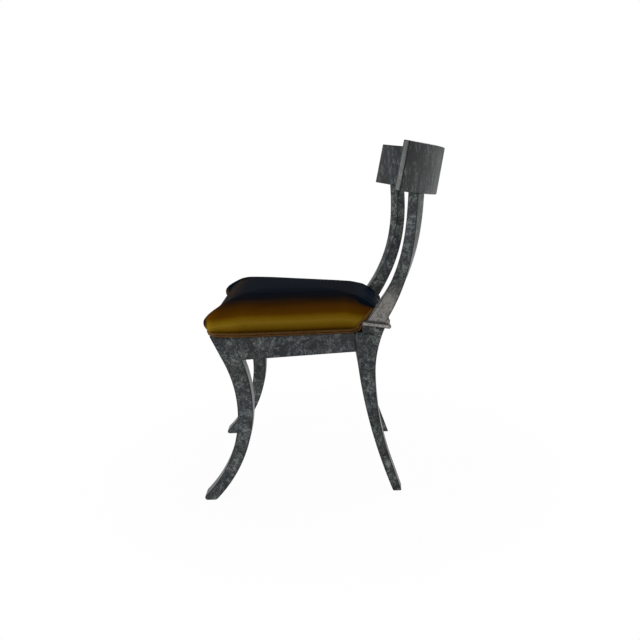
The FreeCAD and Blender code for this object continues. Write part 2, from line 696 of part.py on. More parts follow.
def pin(start, direction, length, diameter, flats=PIN_FLATS):
    """A slender pin, with a few flats instead of a round."""
    radius = diameter / 2
    corners = [Vector(radius * math.cos(turn), radius * math.sin(turn), 0)
               for turn in [2 * math.pi * number / flats for number in range(flats)]]
    body = polygon(corners).extrude(Vector(0, 0, length))
    body.Placement = Placement(start, Rotation(Vector(0, 0, 1), direction))
    return body


def rail_dowels():
    """Pairs of dowels in the eight joints between rails and legs."""
    half = DOWEL_LENGTH / 2
    pins = []
    front_y = bulge_y(FRONT_LEG_BACK_WAIST_Y, FRONT_LEG_BACK_WAIST_Z, FRONT_LEG_BACK_RADIUS,
                      RAIL_TOP_FRONT) + RAIL_THICKNESS / 2
    front_x = FRONT_LEG_SPREAD_TOP - RAIL_THICKNESS / 2 - SEAT_GAP
    rear_x = on_rail(REAR_LEG_HEAD_Y, RAIL_THICKNESS / 2).x
    back_y = REAR_LEG_HEAD_Y + BACK_RAIL_SETBACK + RAIL_THICKNESS / 2
    run = Vector(0, 1, 0)
    cross = Vector(1, 0, 0)
    middle = (rail_top(front_y) + rail_bottom(front_y)) / 2
    for step in (-DOWEL_SPACING / 2, DOWEL_SPACING / 2):
        z = middle + step
        rail_y = front_rail_y(z) + RAIL_THICKNESS / 2
        front_side = FRONT_LEG_SPREAD_TOP - FRONT_LEG_WIDTH_TOP
        rear_side = REAR_LEG_SPREAD_TOP - REAR_LEG_WIDTH_TOP
        fall = middle - (rail_top(back_y) + rail_bottom(back_y)) / 2
        for start, direction in (
                (Vector(front_x, front_y - half, z), run),
                (Vector(front_side - half, rail_y, z), cross),
                (Vector(rear_x, REAR_LEG_HEAD_Y - half, z - fall), run),
                (Vector(rear_side - half, back_y, z - fall), cross)):
            pins.append(pin(start, direction, DOWEL_LENGTH, DOWEL_DIAMETER))
    pins += [mirrored(one) for one in pins]
    return Part.makeCompound(pins)


def block_corners(front_one):
    """Plan of a left corner block: its square corner and its two runs."""
    start, run, inward = rail_line()
    if front_one:
        y = FRONT_LEG_TOP_Y + FRONT_RAIL_SETBACK + RAIL_THICKNESS
        return on_rail(y, RAIL_THICKNESS), run, Vector(-1, 0, 0)
    y = REAR_LEG_HEAD_Y + BACK_RAIL_SETBACK
    return on_rail(y, RAIL_THICKNESS), run * -1, Vector(-1, 0, 0)


def block_screws_at(front_one):
    """Two screws from a block into the rails and one up into the deck."""
    corner, run, cross = block_corners(front_one)
    inward = rail_line()[2]
    far = BLOCK_LEG * SCREW_PLACE
    into_rail = Vector(0, -1, 0) if front_one else Vector(0, 1, 0)
    first = corner + run * far + inward * SCREW_SEAT
    second = corner + cross * far - into_rail * SCREW_SEAT
    if front_one:
        raked_y = front_rail_y(rail_top(second.y) - BLOCK_HEIGHT / 2)
        second.y = raked_y + RAIL_THICKNESS + SCREW_SEAT
    third = corner + run * (BLOCK_LEG * SEAT_SCREW_PLACE) + cross * (BLOCK_LEG * SEAT_SCREW_PLACE)
    drop = Vector(0, 0, BLOCK_HEIGHT / 2)
    raised = Vector(0, 0, 1)
    places = [(first + raised * rail_top(first.y) - drop, inward * -1, BLOCK_SCREW_LENGTH),
              (second + raised * rail_top(second.y) - drop, into_rail, BLOCK_SCREW_LENGTH)]
    seat_start = BLOCK_HEIGHT - SCREW_POCKET
    deck_screw = (third + raised * (rail_top(third.y) - seat_start), raised,
                  seat_start + SCREW_BITE)
    return places, deck_screw


def screw(place):
    start, direction, length = place
    shank = pin(start, direction, length, SCREW_DIAMETER)
    head = pin(start, direction * -1, SCREW_HEAD_HEIGHT, SCREW_HEAD_DIAMETER)
    return shank.fuse(head).removeSplitter()


def screw_bore(place):
    """The bore for a screw, with a wider pocket for its head."""
    start, direction, length = place
    shank = pin(start, direction, length, SCREW_DIAMETER)
    pocket = pin(start, direction * -1, BLOCK_LEG, SCREW_HEAD_DIAMETER)
    return shank.fuse(pocket)


def rail_layer(low, high):
    """The layer of space between two heights measured from the rails' top plane."""
    return across(polygon([side(-REACH, rail_top(-REACH) + low), side(REACH, rail_top(REACH) + low),
                           side(REACH, rail_top(REACH) + high),
                           side(-REACH, rail_top(-REACH) + high)]))


def corner_block(front_one, neighbours):
    """Left corner block, cut to fit against its neighbours and bored for its screws."""
    corner, run, cross = block_corners(front_one)
    plan = polygon([corner, corner + run * BLOCK_LEG, corner + cross * BLOCK_LEG])
    block = plan.extrude(Vector(0, 0, REACH)).common(rail_layer(-BLOCK_HEIGHT, 0))
    for other in neighbours:
        block = block.cut(other)
    places, deck_screw = block_screws_at(front_one)
    for place in places + [deck_screw]:
        block = block.cut(screw_bore(place))
    return largest(block)


def dust_cover(legs):
    """Thin cloth under the rails, cut out round the legs."""
    corners = [point for point, radius in seat_corners(DUST_COVER_MARGIN, -DUST_COVER_MARGIN)]
    back_y = REAR_LEG_HEAD_Y + BACK_RAIL_SETBACK + RAIL_THICKNESS - DUST_COVER_MARGIN
    front_y = FRONT_LEG_TOP_Y + FRONT_RAIL_SETBACK + RAIL_THICKNESS
    left = [Vector(corners[3].x, front_y, 0), corners[3], on_rail(back_y, DUST_COVER_MARGIN)]
    plan = polygon(left + [Vector(-point.x, point.y, 0) for point in reversed(left)])
    sheet = plan.extrude(Vector(0, 0, REACH))
    under = across(polygon([side(-REACH, rail_bottom(-REACH) - DUST_COVER_THICKNESS),
                            side(REACH, rail_bottom(REACH) - DUST_COVER_THICKNESS),
                            side(REACH, rail_bottom(REACH)), side(-REACH, rail_bottom(-REACH))]))
    sheet = sheet.common(under)
    for leg in legs:
        sheet = sheet.cut(leg)
    return largest(sheet)


def cord(path, mitred=False):
    """A cord along a path, drawn with flats as the pins are."""
    first = path.OrderedEdges[0]
    start = first.valueAt(first.FirstParameter)
    heading = first.tangentAt(first.FirstParameter)
    ring = pin(start, heading, WELT_DIAMETER, WELT_DIAMETER, CORD_FLATS).Faces
    flat = min(ring, key=lambda face: (face.CenterOfMass - start).Length)
    return path.makePipeShell([flat.OuterWire], True, False, 1 if mitred else 0)


def side_cord(row):
    """One row of the double welt round the sides and the front, up to the stiles' feet."""
    height = WELT_DIAMETER * (row + 0.5)
    outset = -SEAT_WELT_LEAN * row - SEAM_LIFT
    left = seat_corners(outset, outset)[:4]
    end_y = LEDGE_FRONT_Y - WELT_DIAMETER * (row + 0.5) - SEAT_GAP
    left.append((on_rail(end_y, outset), 0))
    right = [(Vector(-point.x, point.y, 0), radius) for point, radius in reversed(left)]
    points = [point + Vector(0, 0, height) for point, radius in left + right]
    radii = [radius for point, radius in left + right]
    half = len(points) // 2
    order = list(range(half - 1, -1, -1)) + list(range(len(points) - 1, half - 1, -1))
    path = rounded([points[number] for number in order], [radii[number] for number in order])
    path.Placement = rail_frame().multiply(path.Placement)
    return cord(path)


def surface_point(form, start, direction):
    """Where a ray from inside a form leaves it."""
    ray = line(start, start + direction * REACH).common(form)
    return max([vertex.Point for vertex in ray.Vertexes],
               key=lambda point: (point - start).Length)


def stile_face_y(z):
    share = (z - STILE_FOOT_Z) / (STILE_TOP_Z - STILE_FOOT_Z)
    reach = (STILE_FACE_TOP_Y - STILE_FACE_FOOT_Y) * (1 - share) ** STILE_SWEEP_POWER
    return STILE_FACE_TOP_Y - reach


def seam_cord(row, form):
    """One row of the double welt: up the front of both stiles and over the ledge."""
    radius = WELT_DIAMETER / 2
    stand = radius + SEAM_LIFT
    step = WELT_DIAMETER * row + radius
    inner_x = STILE_SPREAD_FOOT - STILE_WIDTH_FOOT / 2 - SEAT_GAP - step
    start_y = LEDGE_FRONT_Y - step - SEAT_GAP
    base = rail_frame().multVec(on_rail(start_y, -SEAT_WELT_LEAN * row - SEAM_LIFT)
                                + Vector(0, 0, step))
    points = [base]
    for rise in SEAM_RISES:
        z = LEDGE_FRONT_TOP_Z + rise
        y = min(start_y, stile_face_y(z) - step)
        skin = surface_point(form, side(y, z), Vector(1, 0, 0))
        points.append(skin + Vector(stand, 0, 0))
    z = points[-1].z
    for share in SEAM_OVER:
        x = STILE_SPREAD_FOOT - share * STILE_WIDTH_FOOT / 2
        y = stile_face_y(z + SEAT_GAP) - step
        skin = surface_point(form, Vector(x, y, RAIL_TOP_FRONT), Vector(0, 0, 1))
        z = skin.z
        points.append(skin + Vector(0, 0, stand))
    back_y = SEAT_BACK_Y + radius
    near_back = Vector(inner_x, SEAT_BACK_Y - 3 * radius, LEDGE_FRONT_TOP_Z)
    skin = surface_point(form, near_back, Vector(0, 0, 1))
    points.append(skin + Vector(0, 0, stand))
    back = surface_point(form, Vector(inner_x, 0, skin.z - 4 * radius), Vector(0, 1, 0))
    points.append(back + Vector(0, stand, 0))
    low = ledge_top(back_y) + step
    back = surface_point(form, Vector(inner_x, 0, low), Vector(0, 1, 0))
    points.append(back + Vector(0, stand, 0))
    points += [Vector(-point.x, point.y, point.z) for point in reversed(points)]
    return cord(Part.makePolygon(points), True)


def double_welt(form):
    """Both rows of cord."""
    rows = [side_cord(0), seam_cord(0, form), side_cord(1), seam_cord(1, form)]
    return Part.makeCompound(rows)


def both_sides(name, left, nodes):
    nodes[name + "_left"] = left
    nodes[name + "_right"] = mirrored(left)


def chair():
    """Every piece of the chair, by name, in its place."""
    nodes = {}
    pins = rail_dowels()
    rail_screws = []
    deck_screws = []
    for front_one in (True, False):
        places, deck_screw = block_screws_at(front_one)
        rail_screws += [screw(place) for place in places]
        deck_screws.append(screw(deck_screw))
    rail_screws += [mirrored(one) for one in rail_screws]
    deck_screws += [mirrored(one) for one in deck_screws]
    rail_screws = Part.makeCompound(rail_screws)
    deck_screws = Part.makeCompound(deck_screws)

    head, rear, rail = front_leg(), rear_leg(), side_rail()
    cross, back = front_rail(), back_rail()
    both_sides("front_leg", head.cut(pins), nodes)
    both_sides("rear_leg", rear.cut(pins).cut(foot_tenon()), nodes)
    both_sides("side_rail", rail.cut(pins).cut(rail_screws), nodes)
    nodes["front_rail"] = cross.cut(pins).cut(rail_screws)
    nodes["back_rail"] = back.cut(pins).cut(rail_screws)
    nodes["back_ledge"] = back_ledge().cut(foot_tenon()).cut(mirrored(foot_tenon()))
    both_sides("stile", stile(), nodes)
    nodes["crest_rail"] = crest_rail().cut(crest_tenon()).cut(mirrored(crest_tenon()))
    both_sides("corner_block_front", corner_block(True, [head, rail, cross]), nodes)
    both_sides("corner_block_rear", corner_block(False, [rear, rail, back]), nodes)
    nodes["rail_dowels"] = pins
    nodes["block_screws"] = rail_screws
    nodes["seat_screws"] = deck_screws

    deck = seat_deck()
    form, cover, pad = upholstery()
    nodes["seat_deck"] = deck.cut(deck_screws)
    nodes["foam_pad"] = largest(pad.cut(deck).cut(back))
    nodes["seat_cover"] = cover
    nodes["double_welt"] = double_welt(seat_form(0))
    legs = [head, rear, mirrored(head), mirrored(rear)]
    nodes["dust_cover"] = dust_cover(legs)
    return nodes


def main():
    nodes = chair()
    box = Part.makeCompound(list(nodes.values())).optimalBoundingBox()
    shift = Vector(-(box.XMin + box.XMax) / 2, -(box.YMin + box.YMax) / 2, -box.ZMin)
    os.makedirs("parts", exist_ok=True)
    for name, shape in nodes.items():
        shape.translate(shift)
        shape.exportStep("parts/" + name + ".step")


main()
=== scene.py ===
"""Klismos side chair, dressed piece by piece in the order in which it is put together.

Shapes are worked out in millimetres in the maker's own frame, whose front is -Y, and are laid
into the chair's frame in metres when their mesh is made.
"""
import math

import bpy
import numpy as np
from mathutils import Matrix, Vector
from mathutils.bvhtree import BVHTree


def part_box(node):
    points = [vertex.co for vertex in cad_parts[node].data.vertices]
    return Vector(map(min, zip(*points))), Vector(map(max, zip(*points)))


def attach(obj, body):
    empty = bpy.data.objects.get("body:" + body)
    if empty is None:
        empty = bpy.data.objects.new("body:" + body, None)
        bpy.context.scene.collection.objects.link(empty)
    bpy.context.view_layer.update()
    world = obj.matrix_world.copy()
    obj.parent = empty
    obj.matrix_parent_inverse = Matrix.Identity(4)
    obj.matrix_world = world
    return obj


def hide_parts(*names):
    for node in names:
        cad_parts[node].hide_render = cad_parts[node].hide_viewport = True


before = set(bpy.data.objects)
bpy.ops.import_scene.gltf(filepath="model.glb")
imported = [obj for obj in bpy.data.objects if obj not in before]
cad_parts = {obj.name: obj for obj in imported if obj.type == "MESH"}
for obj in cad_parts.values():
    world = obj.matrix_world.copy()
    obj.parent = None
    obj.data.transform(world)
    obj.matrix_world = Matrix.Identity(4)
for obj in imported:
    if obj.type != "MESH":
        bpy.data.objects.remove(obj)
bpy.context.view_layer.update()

# Front legs
# Two sabre legs of beech, each sawn from the side to two arcs, spread a little at the foot and
# painted like dark stone under a clear coat. The rails are dowelled into their heads.

BACK_RAIL_FACE = 83.0
set_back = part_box("back_rail")[0].y * 1000 - BACK_RAIL_FACE
LEG_FACE_Y, LEG_FACE_Z = -291.0, 432.0     # top of a front leg's face, where the rails start
TOP_SLOPE, BOTTOM_SLOPE = 15 / 362, 5 / 362     # fall of the rails' edges to the back
OUTER_X, INNER_X = 237.0, 187.0   # sides of a front leg's head
EASE = 1.7                        # radius of the arrises
GUARD = 2.4                       # flat left beside an eased arris before its paint lightens


def unit(vectors):
    """The same directions, each with a length of one."""
    return vectors / np.linalg.norm(vectors, axis=-1, keepdims=True)


def mirror(shells):
    """The same skins on the other side of the chair: x changes sign."""
    return [(points * (-1, 1, 1), rub) for points, rub in shells]


def new_piece(name, points, faces):
    """A smooth object whose faces join points given in millimetres."""
    mesh = bpy.data.meshes.new(name)
    places = (points.reshape(-1, 3) + (0, set_back, 0)) / 1000
    mesh.from_pydata(places.tolist(), [], faces.tolist())
    mesh.polygons.foreach_set("use_smooth", np.ones(len(mesh.polygons), bool))
    piece = bpy.data.objects.new(name, mesh)
    bpy.context.scene.collection.objects.link(piece)
    return piece


def lay_skin(name, shells):
    """Object made of closed skins, each a grid of sections by points in millimetres.

    Quads join point j of a section to point j + 1 and to the next section. Each end is closed
    by strips that join point j to point m - 1 - j. A skin whose enclosed volume, the sum of
    every corner crossed with its neighbours over six, is negative is turned round.
    """
    points, faces, flats, rubs = [], [], [], []
    first = 0
    for skin, rub in shells:
        rows, columns = skin.shape[:2]
        grid = np.arange(rows * columns).reshape(rows, columns)
        beside = np.roll(grid, -1, 1)
        walls = np.stack([grid[:-1], beside[:-1], beside[1:], grid[1:]], -1).reshape(-1, 4)
        j = np.arange(columns // 2 - 1)
        strip = np.stack([j, j + 1, columns - 2 - j, columns - 1 - j], -1)
        caps = np.concatenate([grid[0][strip][:, ::-1], grid[-1][strip]])
        quads = np.concatenate([walls, caps])
        flat = skin.reshape(-1, 3)
        a, b, c, d = (flat[quads[:, k]] for k in range(4))
        volume = (np.cross(a, b) * c).sum() + (np.cross(a, c) * d).sum()
        faces.append((quads if volume > 0 else quads[:, ::-1]) + first)
        flats.append(np.concatenate([np.zeros(len(walls), bool), np.ones(len(caps), bool)]))
        points.append(flat)
        rubs.append(np.broadcast_to(rub, (rows, columns)).reshape(-1))
        first += len(flat)
    piece = new_piece(name, np.concatenate(points), np.concatenate(faces))
    piece.data.polygons.foreach_set("use_smooth", ~np.concatenate(flats))
    arris = piece.data.attributes.new("arris", "FLOAT", "POINT")
    arris.data.foreach_set("value", np.concatenate(rubs).astype(np.float32))
    return piece


def eased_end(ease):
    """Steps over a rounded end: how far each lies before it, and how far it is drawn in.

    At a turn t, they are ease * (1 - sin t) and ease * (1 - cos t).
    """
    turns = np.radians([0, 30, 60, 88])
    return (np.concatenate([[ease + GUARD], ease * (1 - np.sin(turns)), [0]]),
            np.concatenate([[0], ease * (1 - np.cos(turns)), [ease + GUARD / 2]]))


def four_sided(corners, ease=EASE, eased_ends=(False, False)):
    """Skin of a squared member from its four corner lines, given as sections by 4 by 3.

    At a corner c, with a and b the directions along its two faces, the skin follows a quarter
    circle: c + (a + b - a cos t - b sin t) * ease. The second array tells where the arrises
    are, as 1 on them and 0 on the flats.
    """
    rows = [corners[int(eased_ends[0]):len(corners) - int(eased_ends[1])]]
    radii = [np.full(len(rows[0]), ease)]
    worn = [np.zeros(len(rows[0]))]
    for last, wanted in enumerate(eased_ends):
        if not wanted:
            continue
        end, inner = (corners[-1], corners[-2]) if last else (corners[0], corners[1])
        away = unit(end - inner)
        ahead = unit(np.roll(end, -1, 0) - end)
        behind = unit(np.roll(end, 1, 0) - end)
        back, inset = eased_end(ease)
        added = end - away * back[:, None, None] + (ahead + behind) * inset[:, None, None]
        rub = np.array([0.0, 1, 1, 1, 1, 0])
        order = slice(None) if last else slice(None, None, -1)
        place = len(rows) if last else 0
        rows.insert(place, added[order])
        radii.insert(place, np.maximum(ease - inset, 0.05)[order])
        worn.insert(place, rub[order])
    rows, radii, worn = (np.concatenate(part) for part in (rows, radii, worn))
    r = radii[:, None]
    columns, rub = [], []

    def add(point, value):
        columns.append(point)
        rub.append(np.maximum(worn, value))

    def face(k, shares):
        start = rows[:, k] + unit(rows[:, (k + 1) % 4] - rows[:, k]) * r
        end = rows[:, (k + 1) % 4] + unit(rows[:, k] - rows[:, (k + 1) % 4]) * r
        span = end - start
        length = np.linalg.norm(span, axis=1, keepdims=True)
        guard = np.minimum(GUARD / length, 0.25)
        places = {0: guard, 1: 1 / 3, 2: 2 / 3, 3: 1 - guard}
        for share in shares:
            add(start + span * places[share], 0.0)

    face(3, (2, 3))
    for k in range(4):
        a = unit(rows[:, (k + 1) % 4] - rows[:, k])
        b = unit(rows[:, k - 1] - rows[:, k])
        for turn in np.radians([0, 22.5, 45, 67.5, 90]):
            add(rows[:, k] + (a + b - a * math.cos(turn) - b * math.sin(turn)) * r, 1.0)
        face(k, (0, 1, 2, 3) if k < 3 else (0, 1))
    return np.stack(columns, 1), np.stack(rub, 1)


def bulge(waist_y, waist_z, radius, z):
    """Y of an upright arc at height z: waist - radius + root(radius^2 - (z - waist_z)^2)."""
    return waist_y - radius + np.sqrt(radius ** 2 - (z - waist_z) ** 2)


def rail_top(y):
    """Height of the rails' top edge, a straight line that falls 15 in 362 to the back."""
    return LEG_FACE_Z - (y - LEG_FACE_Y) * TOP_SLOPE


def rail_bottom(y):
    """Height of the rails' lower edge, which falls less than the top edge."""
    return 371.0 - (y - LEG_FACE_Y) * BOTTOM_SLOPE


def spread(top_x, foot_x, z, upright=400.0):
    """X of a leg's side: upright above that height, then an arc to foot_x on the floor."""
    sweep = foot_x - top_x
    radius = (upright ** 2 + sweep ** 2) / (2 * sweep)
    drop = np.clip(upright - z, 0, None)
    return top_x + radius - np.sqrt(radius ** 2 - drop ** 2)


def sole_inset(z, radius):
    """How far a round of that radius draws a side in, at height z over the floor."""
    low = np.clip(radius - z, 0, radius)
    return radius - np.sqrt(radius ** 2 - low ** 2)


def rising(count, low=0.0, high=1.0):
    """Shares from low to high whose steps start small and grow: 1 - cos of an even turn."""
    return low + (high - low) * (1 - np.cos(np.linspace(0, np.pi / 2, count)))


def front_face_y(z):
    """Front of a front leg: a round toe, a hollow arc, and a straight line that touches it."""
    arc_y, arc_z, radius, toe = -231.6 - 312, 235.0, 312.0, 7.0
    toe_y = arc_y + math.sqrt((radius + toe) ** 2 - (arc_z - toe) ** 2)
    toe_top = arc_z + (toe - arc_z) * radius / (radius + toe)
    away = (LEG_FACE_Y - arc_y, LEG_FACE_Z - arc_z)
    turn = math.atan2(away[1], away[0]) - math.acos(radius / math.hypot(*away))
    bend_y, bend_z = arc_y + radius * math.cos(turn), arc_z + radius * math.sin(turn)
    round_toe = toe_y - np.sqrt(np.clip(toe ** 2 - (z - toe) ** 2, 0, None))
    straight = bend_y + (z - bend_z) / (LEG_FACE_Z - bend_z) * (LEG_FACE_Y - bend_y)
    arc = arc_y + np.sqrt(radius ** 2 - (z - arc_z) ** 2)
    return np.where(z < toe_top, round_toe, np.where(z > bend_z, straight, arc))


def front_leg_back_y(z):
    """Back of a front leg: one arc, widest at a height of 250."""
    return bulge(-192.3, 250.0, 348.0, z)


shares = np.concatenate([rising(9, 0, 0.05)[:-1], np.linspace(0.05, 1, 56)])
front_z = shares * LEG_FACE_Z
back_z = shares * rail_top(front_leg_back_y(430.0))
front_y = front_face_y(front_z)
back_y = front_leg_back_y(back_z) - sole_inset(back_z, 3.0)
corners = np.empty((len(shares), 4, 3))
for place, (outer, y, z) in enumerate(((True, front_y, front_z), (True, back_y, back_z),
                                       (False, back_y, back_z), (False, front_y, front_z))):
    inset = sole_inset(z, 2.0)
    x = spread(OUTER_X, 249.5, z) - inset if outer else spread(INNER_X, 207.5, z) + inset
    corners[:, place] = np.stack([x, y, z], -1)
front_leg = four_sided(corners)


class Shade:
    """One socket of a material's nodes. Sums and products of shades add Math nodes."""

    def __init__(self, tree, socket=None):
        self.tree = tree
        self.socket = socket

    def node(self, kind, settings=None, inputs=None, output=0):
        """Add a node: its settings are set first, then each input gets a value or a link."""
        made = self.tree.nodes.new(kind)
        for key, value in (settings or {}).items():
            if key == "stops":
                stops = made.color_ramp.elements
                while len(stops) < len(value):
                    stops.new(1.0)
                for stop, (position, colour) in zip(stops, value):
                    stop.position = position
                    stop.color = colour
            else:
                setattr(made, key, value)
        for key, value in (inputs or {}).items():
            if isinstance(value, Shade):
                self.tree.links.new(value.socket, made.inputs[key])
            else:
                made.inputs[key].default_value = value
        return Shade(self.tree, None if output is None else made.outputs[output])

    def maths(self, operation, other, swapped=False):
        """This shade and another number or shade, joined by a Math node."""
        pair = (other, self) if swapped else (self, other)
        return self.node("ShaderNodeMath", {"operation": operation}, dict(enumerate(pair)))

    def __add__(self, other):
        return self.maths("ADD", other)

    def __sub__(self, other):
        return self.maths("SUBTRACT", other)

    def __rsub__(self, other):
        return self.maths("SUBTRACT", other, True)

    def __mul__(self, other):
        return self.maths("MULTIPLY", other)

    __radd__ = __add__
    __rmul__ = __mul__

    def ease_between(self, low, high):
        """0 below low, 1 above high, and a smooth rise between them."""
        return self.node("ShaderNodeMapRange", {"interpolation_type": "SMOOTHSTEP"},
                         {0: self, 1: low, 2: high})

    def noise(self, scale, detail=3.0, roughness=0.5, output="Fac"):
        """Clouds over this vector, with so many to a metre."""
        return self.node("ShaderNodeTexNoise", None,
                         {"Vector": self, "Scale": scale, "Detail": detail,
                          "Roughness": roughness}, output)

    def ramp(self, *stops):
        """The colour at this share of the way along stops of (position, colour)."""
        return self.node("ShaderNodeValToRGB", {"stops": stops}, {"Fac": self})

    def bump(self, strength, distance):
        """The normal of a surface that is raised by this shade."""
        return self.node("ShaderNodeBump", None, {"Strength": strength, "Distance": distance,
                                                  "Height": self}, "Normal")

    def times(self, filter_colour):
        """This colour seen through a coloured filter."""
        return self.node("ShaderNodeMix", {"data_type": "RGBA", "blend_type": "MULTIPLY"},
                         {0: 1.0, 6: self, 7: filter_colour}, 2)

    def tint(self, other, share):
        """This colour mixed towards another by a share."""
        return self.node("ShaderNodeMix", {"data_type": "RGBA"}, {0: share, 6: self, 7: other}, 2)


def paint(red, green, blue):
    """A colour from its 0 to 255 values, made linear: ((v + 0.055) / 1.055) to the 2.4."""
    value = np.array([red, green, blue]) / 255
    linear = np.where(value <= 0.04045, value / 12.92, ((value + 0.055) / 1.055) ** 2.4)
    return (*linear.tolist(), 1.0)


def new_finish(name):
    """An empty material, a shade to start its nodes from, and its Object coordinates."""
    material = bpy.data.materials.new(name)
    material.use_nodes = True
    material.node_tree.nodes.clear()
    start = Shade(material.node_tree)
    return material, start, start.node("ShaderNodeTexCoord", None, None, "Object")


def put_on(shade, inputs):
    """End a material in a Principled shader with these inputs."""
    surface = shade.node("ShaderNodeBsdfPrincipled", None, inputs)
    shade.node("ShaderNodeOutputMaterial", None, {"Surface": surface}, None)


def stone_lacquer(name, offset, foot_cloud=0.0, stretch=(1.0, 1.0, 1.0), depth=0.0):
    """Faux-stone lacquer on dark ground, under a clear coat.

    Clouds are bent by other clouds. Dark veins and light streaks run where one of the clouds
    passes a set value. The arrises have a thin dark line, a foot cloud pales the outer faces
    near the seat, and depth darkens the whole.
    """
    material, start, place = new_finish(name)
    moved = start.node("ShaderNodeMapping", None, {"Vector": place, "Location": offset,
                                                   "Scale": stretch})
    swirl = moved.noise(30.0, 3.0, 0.6, "Color")
    bent = start.node("ShaderNodeVectorMath", {"operation": "MULTIPLY_ADD"},
                      {0: swirl, 1: (0.06, 0.06, 0.06), 2: moved})
    cloud = bent.noise(40.0, 6.0, 0.68)
    fine = bent.noise(150.0, 4.0, 0.75)
    tone = (cloud * 0.6 + fine * 0.4).ease_between(0.39 + depth, 0.6 + depth)
    colour = tone.ramp((0.0, paint(12, 16, 22)), (0.35, paint(36, 42, 47)),
                       (0.7, paint(78, 87, 88)), (1.0, paint(146, 152, 148)))
    hue = moved.noise(11.0, 2.0, 0.5)
    bluer = colour.times((0.88, 0.96, 1.1, 1.0))
    colour = colour.tint(bluer, hue.ease_between(0.5, 0.62))
    greener = colour.times((0.93, 1.02, 0.95, 1.0))
    colour = colour.tint(greener, 1 - hue.ease_between(0.36, 0.48))
    lines = bent.noise(66.0, 5.0, 0.55)
    streak = 1 - (lines - 0.56).maths("ABSOLUTE", 0).ease_between(0.003, 0.024)
    colour = colour.tint(paint(150, 154, 150), streak * 0.5)
    vein = 1 - (lines - 0.47).maths("ABSOLUTE", 0).ease_between(0.006, 0.045)
    threads = (bent.noise(105.0, 4.0, 0.55) - 0.5).maths("ABSOLUTE", 0)
    second = 1 - threads.ease_between(0.003, 0.026)
    colour = colour.tint(paint(12, 17, 23), second * 0.7)
    colour = colour.tint(paint(6, 9, 15), vein * 0.9)
    if foot_cloud:
        parts = {axis: start.node("ShaderNodeSeparateXYZ", None, {"Vector": place}, axis)
                 for axis in "XZ"}
        near = 1 - parts["Z"].ease_between(0.475, 0.56)
        outside = parts["X"].maths("ABSOLUTE", 0).ease_between(0.15, 0.17)
        patches = foot_cloud * (fine * 1.1 + 0.2) * (1 - vein * 0.6)
        colour = colour.tint(paint(205, 200, 192), near * outside * patches)
    # the arris attribute also carries the painted shadow round the stiles' feet
    arris = start.node("ShaderNodeAttribute", {"attribute_name": "arris"}, None, "Fac")
    colour = colour.tint(paint(8, 10, 13), arris * (0.4 + fine * 0.8))
    rough = 0.3 + fine * 0.24 + arris * 0.05
    bump = (fine - vein * 0.5).bump(0.12, 0.0006)
    put_on(start, {"Base Color": colour, "Roughness": rough, "Normal": bump,
                   "Coat Weight": 0.3, "Coat Roughness": 0.2})
    return material


leg_paint = stone_lacquer("stone_lacquer_legs", (0.0, 0.0, 0.0))


def set_finish(piece, material):
    """Give a piece this material alone."""
    piece.data.materials.clear()
    piece.data.materials.append(material)


def fit_piece(piece, material, slot, *nodes):
    """Give a piece its finish and its body, and hide the CAD nodes that it stands for."""
    set_finish(piece, material)
    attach(piece, "root")
    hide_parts(*nodes)


def fit_pair(name, shells, material, node):
    """Lay a lacquered piece on the left, and its mirror image on the right."""
    for side, skins in (("left", shells), ("right", mirror(shells))):
        fit_piece(lay_skin(name + side, skins), material, "lacquered_wood", node + side)


fit_pair("sabre_leg_front_", [front_leg], leg_paint, "front_leg_")

# Rear legs
# Two raked sabre legs of the same beech, each with a wide head and turned a little outwards.
# The head is notched in front, where the seat lies, and carries the ledge behind.

LEG_TURN = math.radians(5.0)
HEAD_OUTER_X, HEAD_INNER_X = 174.0, 136.0
HEAD_Y, NOTCH_Y = 71.0, 90.0      # the head's face, and the face of its part over the rails
NOTCH_Z = 417.0
WAIST_Y, WAIST_Z = 123.0, 304.0   # where the leg is thinnest


def rear_back_y(z):
    """Back of a rear leg: an arc of 310 above the waist, one of 705 below, then straight."""
    shin, heel_y = 90, 188
    upper = WAIST_Y + 310 - np.sqrt(310 ** 2 - (np.maximum(z, WAIST_Z) - WAIST_Z) ** 2)
    lower = WAIST_Y + 705 - np.sqrt(705 ** 2 - (np.clip(z, shin, WAIST_Z) - WAIST_Z) ** 2)
    last = WAIST_Y + 705 - math.sqrt(705 ** 2 - (shin - WAIST_Z) ** 2)
    straight = heel_y + (last - heel_y) * z / shin
    return np.where(z > WAIST_Z, upper, np.where(z < shin, straight, lower))


def arc_through(first, middle, last, z):
    """Y at height z on the circle through three side-view points, on its side towards -Y."""
    points = np.array([first, middle, last], float)
    rows = 2 * (points[1:] - points[0])
    centre = np.linalg.solve(rows, (points[1:] ** 2).sum(1) - (points[0] ** 2).sum())
    radius = np.linalg.norm(points[0] - centre)
    side_of = 1.0 if first[0] > centre[0] else -1.0
    return centre[0] + side_of * np.sqrt(radius ** 2 - (z - centre[1]) ** 2)


def rear_face_y(z):
    """Face of a rear leg: one hollow arc from the toe to the head's notch."""
    arc = arc_through((166, 0), (97.5, 215), (HEAD_Y, NOTCH_Z), np.minimum(z, NOTCH_Z))
    return np.where(z < NOTCH_Z, arc, HEAD_Y)


def turned(y, x):
    """Y where a plane at y, turned outwards about the head's outer front corner, meets x."""
    return HEAD_Y + (y - HEAD_Y) / math.cos(LEG_TURN) - (x - HEAD_OUTER_X) * math.tan(LEG_TURN)


LEDGE_FALL = math.radians(8.5)
LEDGE_THICK = 11.0


def ledge_top(y):
    """Height of the ledge's top face, which falls to the back."""
    return 446.5 - (y - NOTCH_Y) * math.tan(LEDGE_FALL)


def ledge_underside(y):
    """Height of the ledge's lower face, on which the heads of the rear legs end."""
    return ledge_top(y) - LEDGE_THICK / math.cos(LEDGE_FALL)


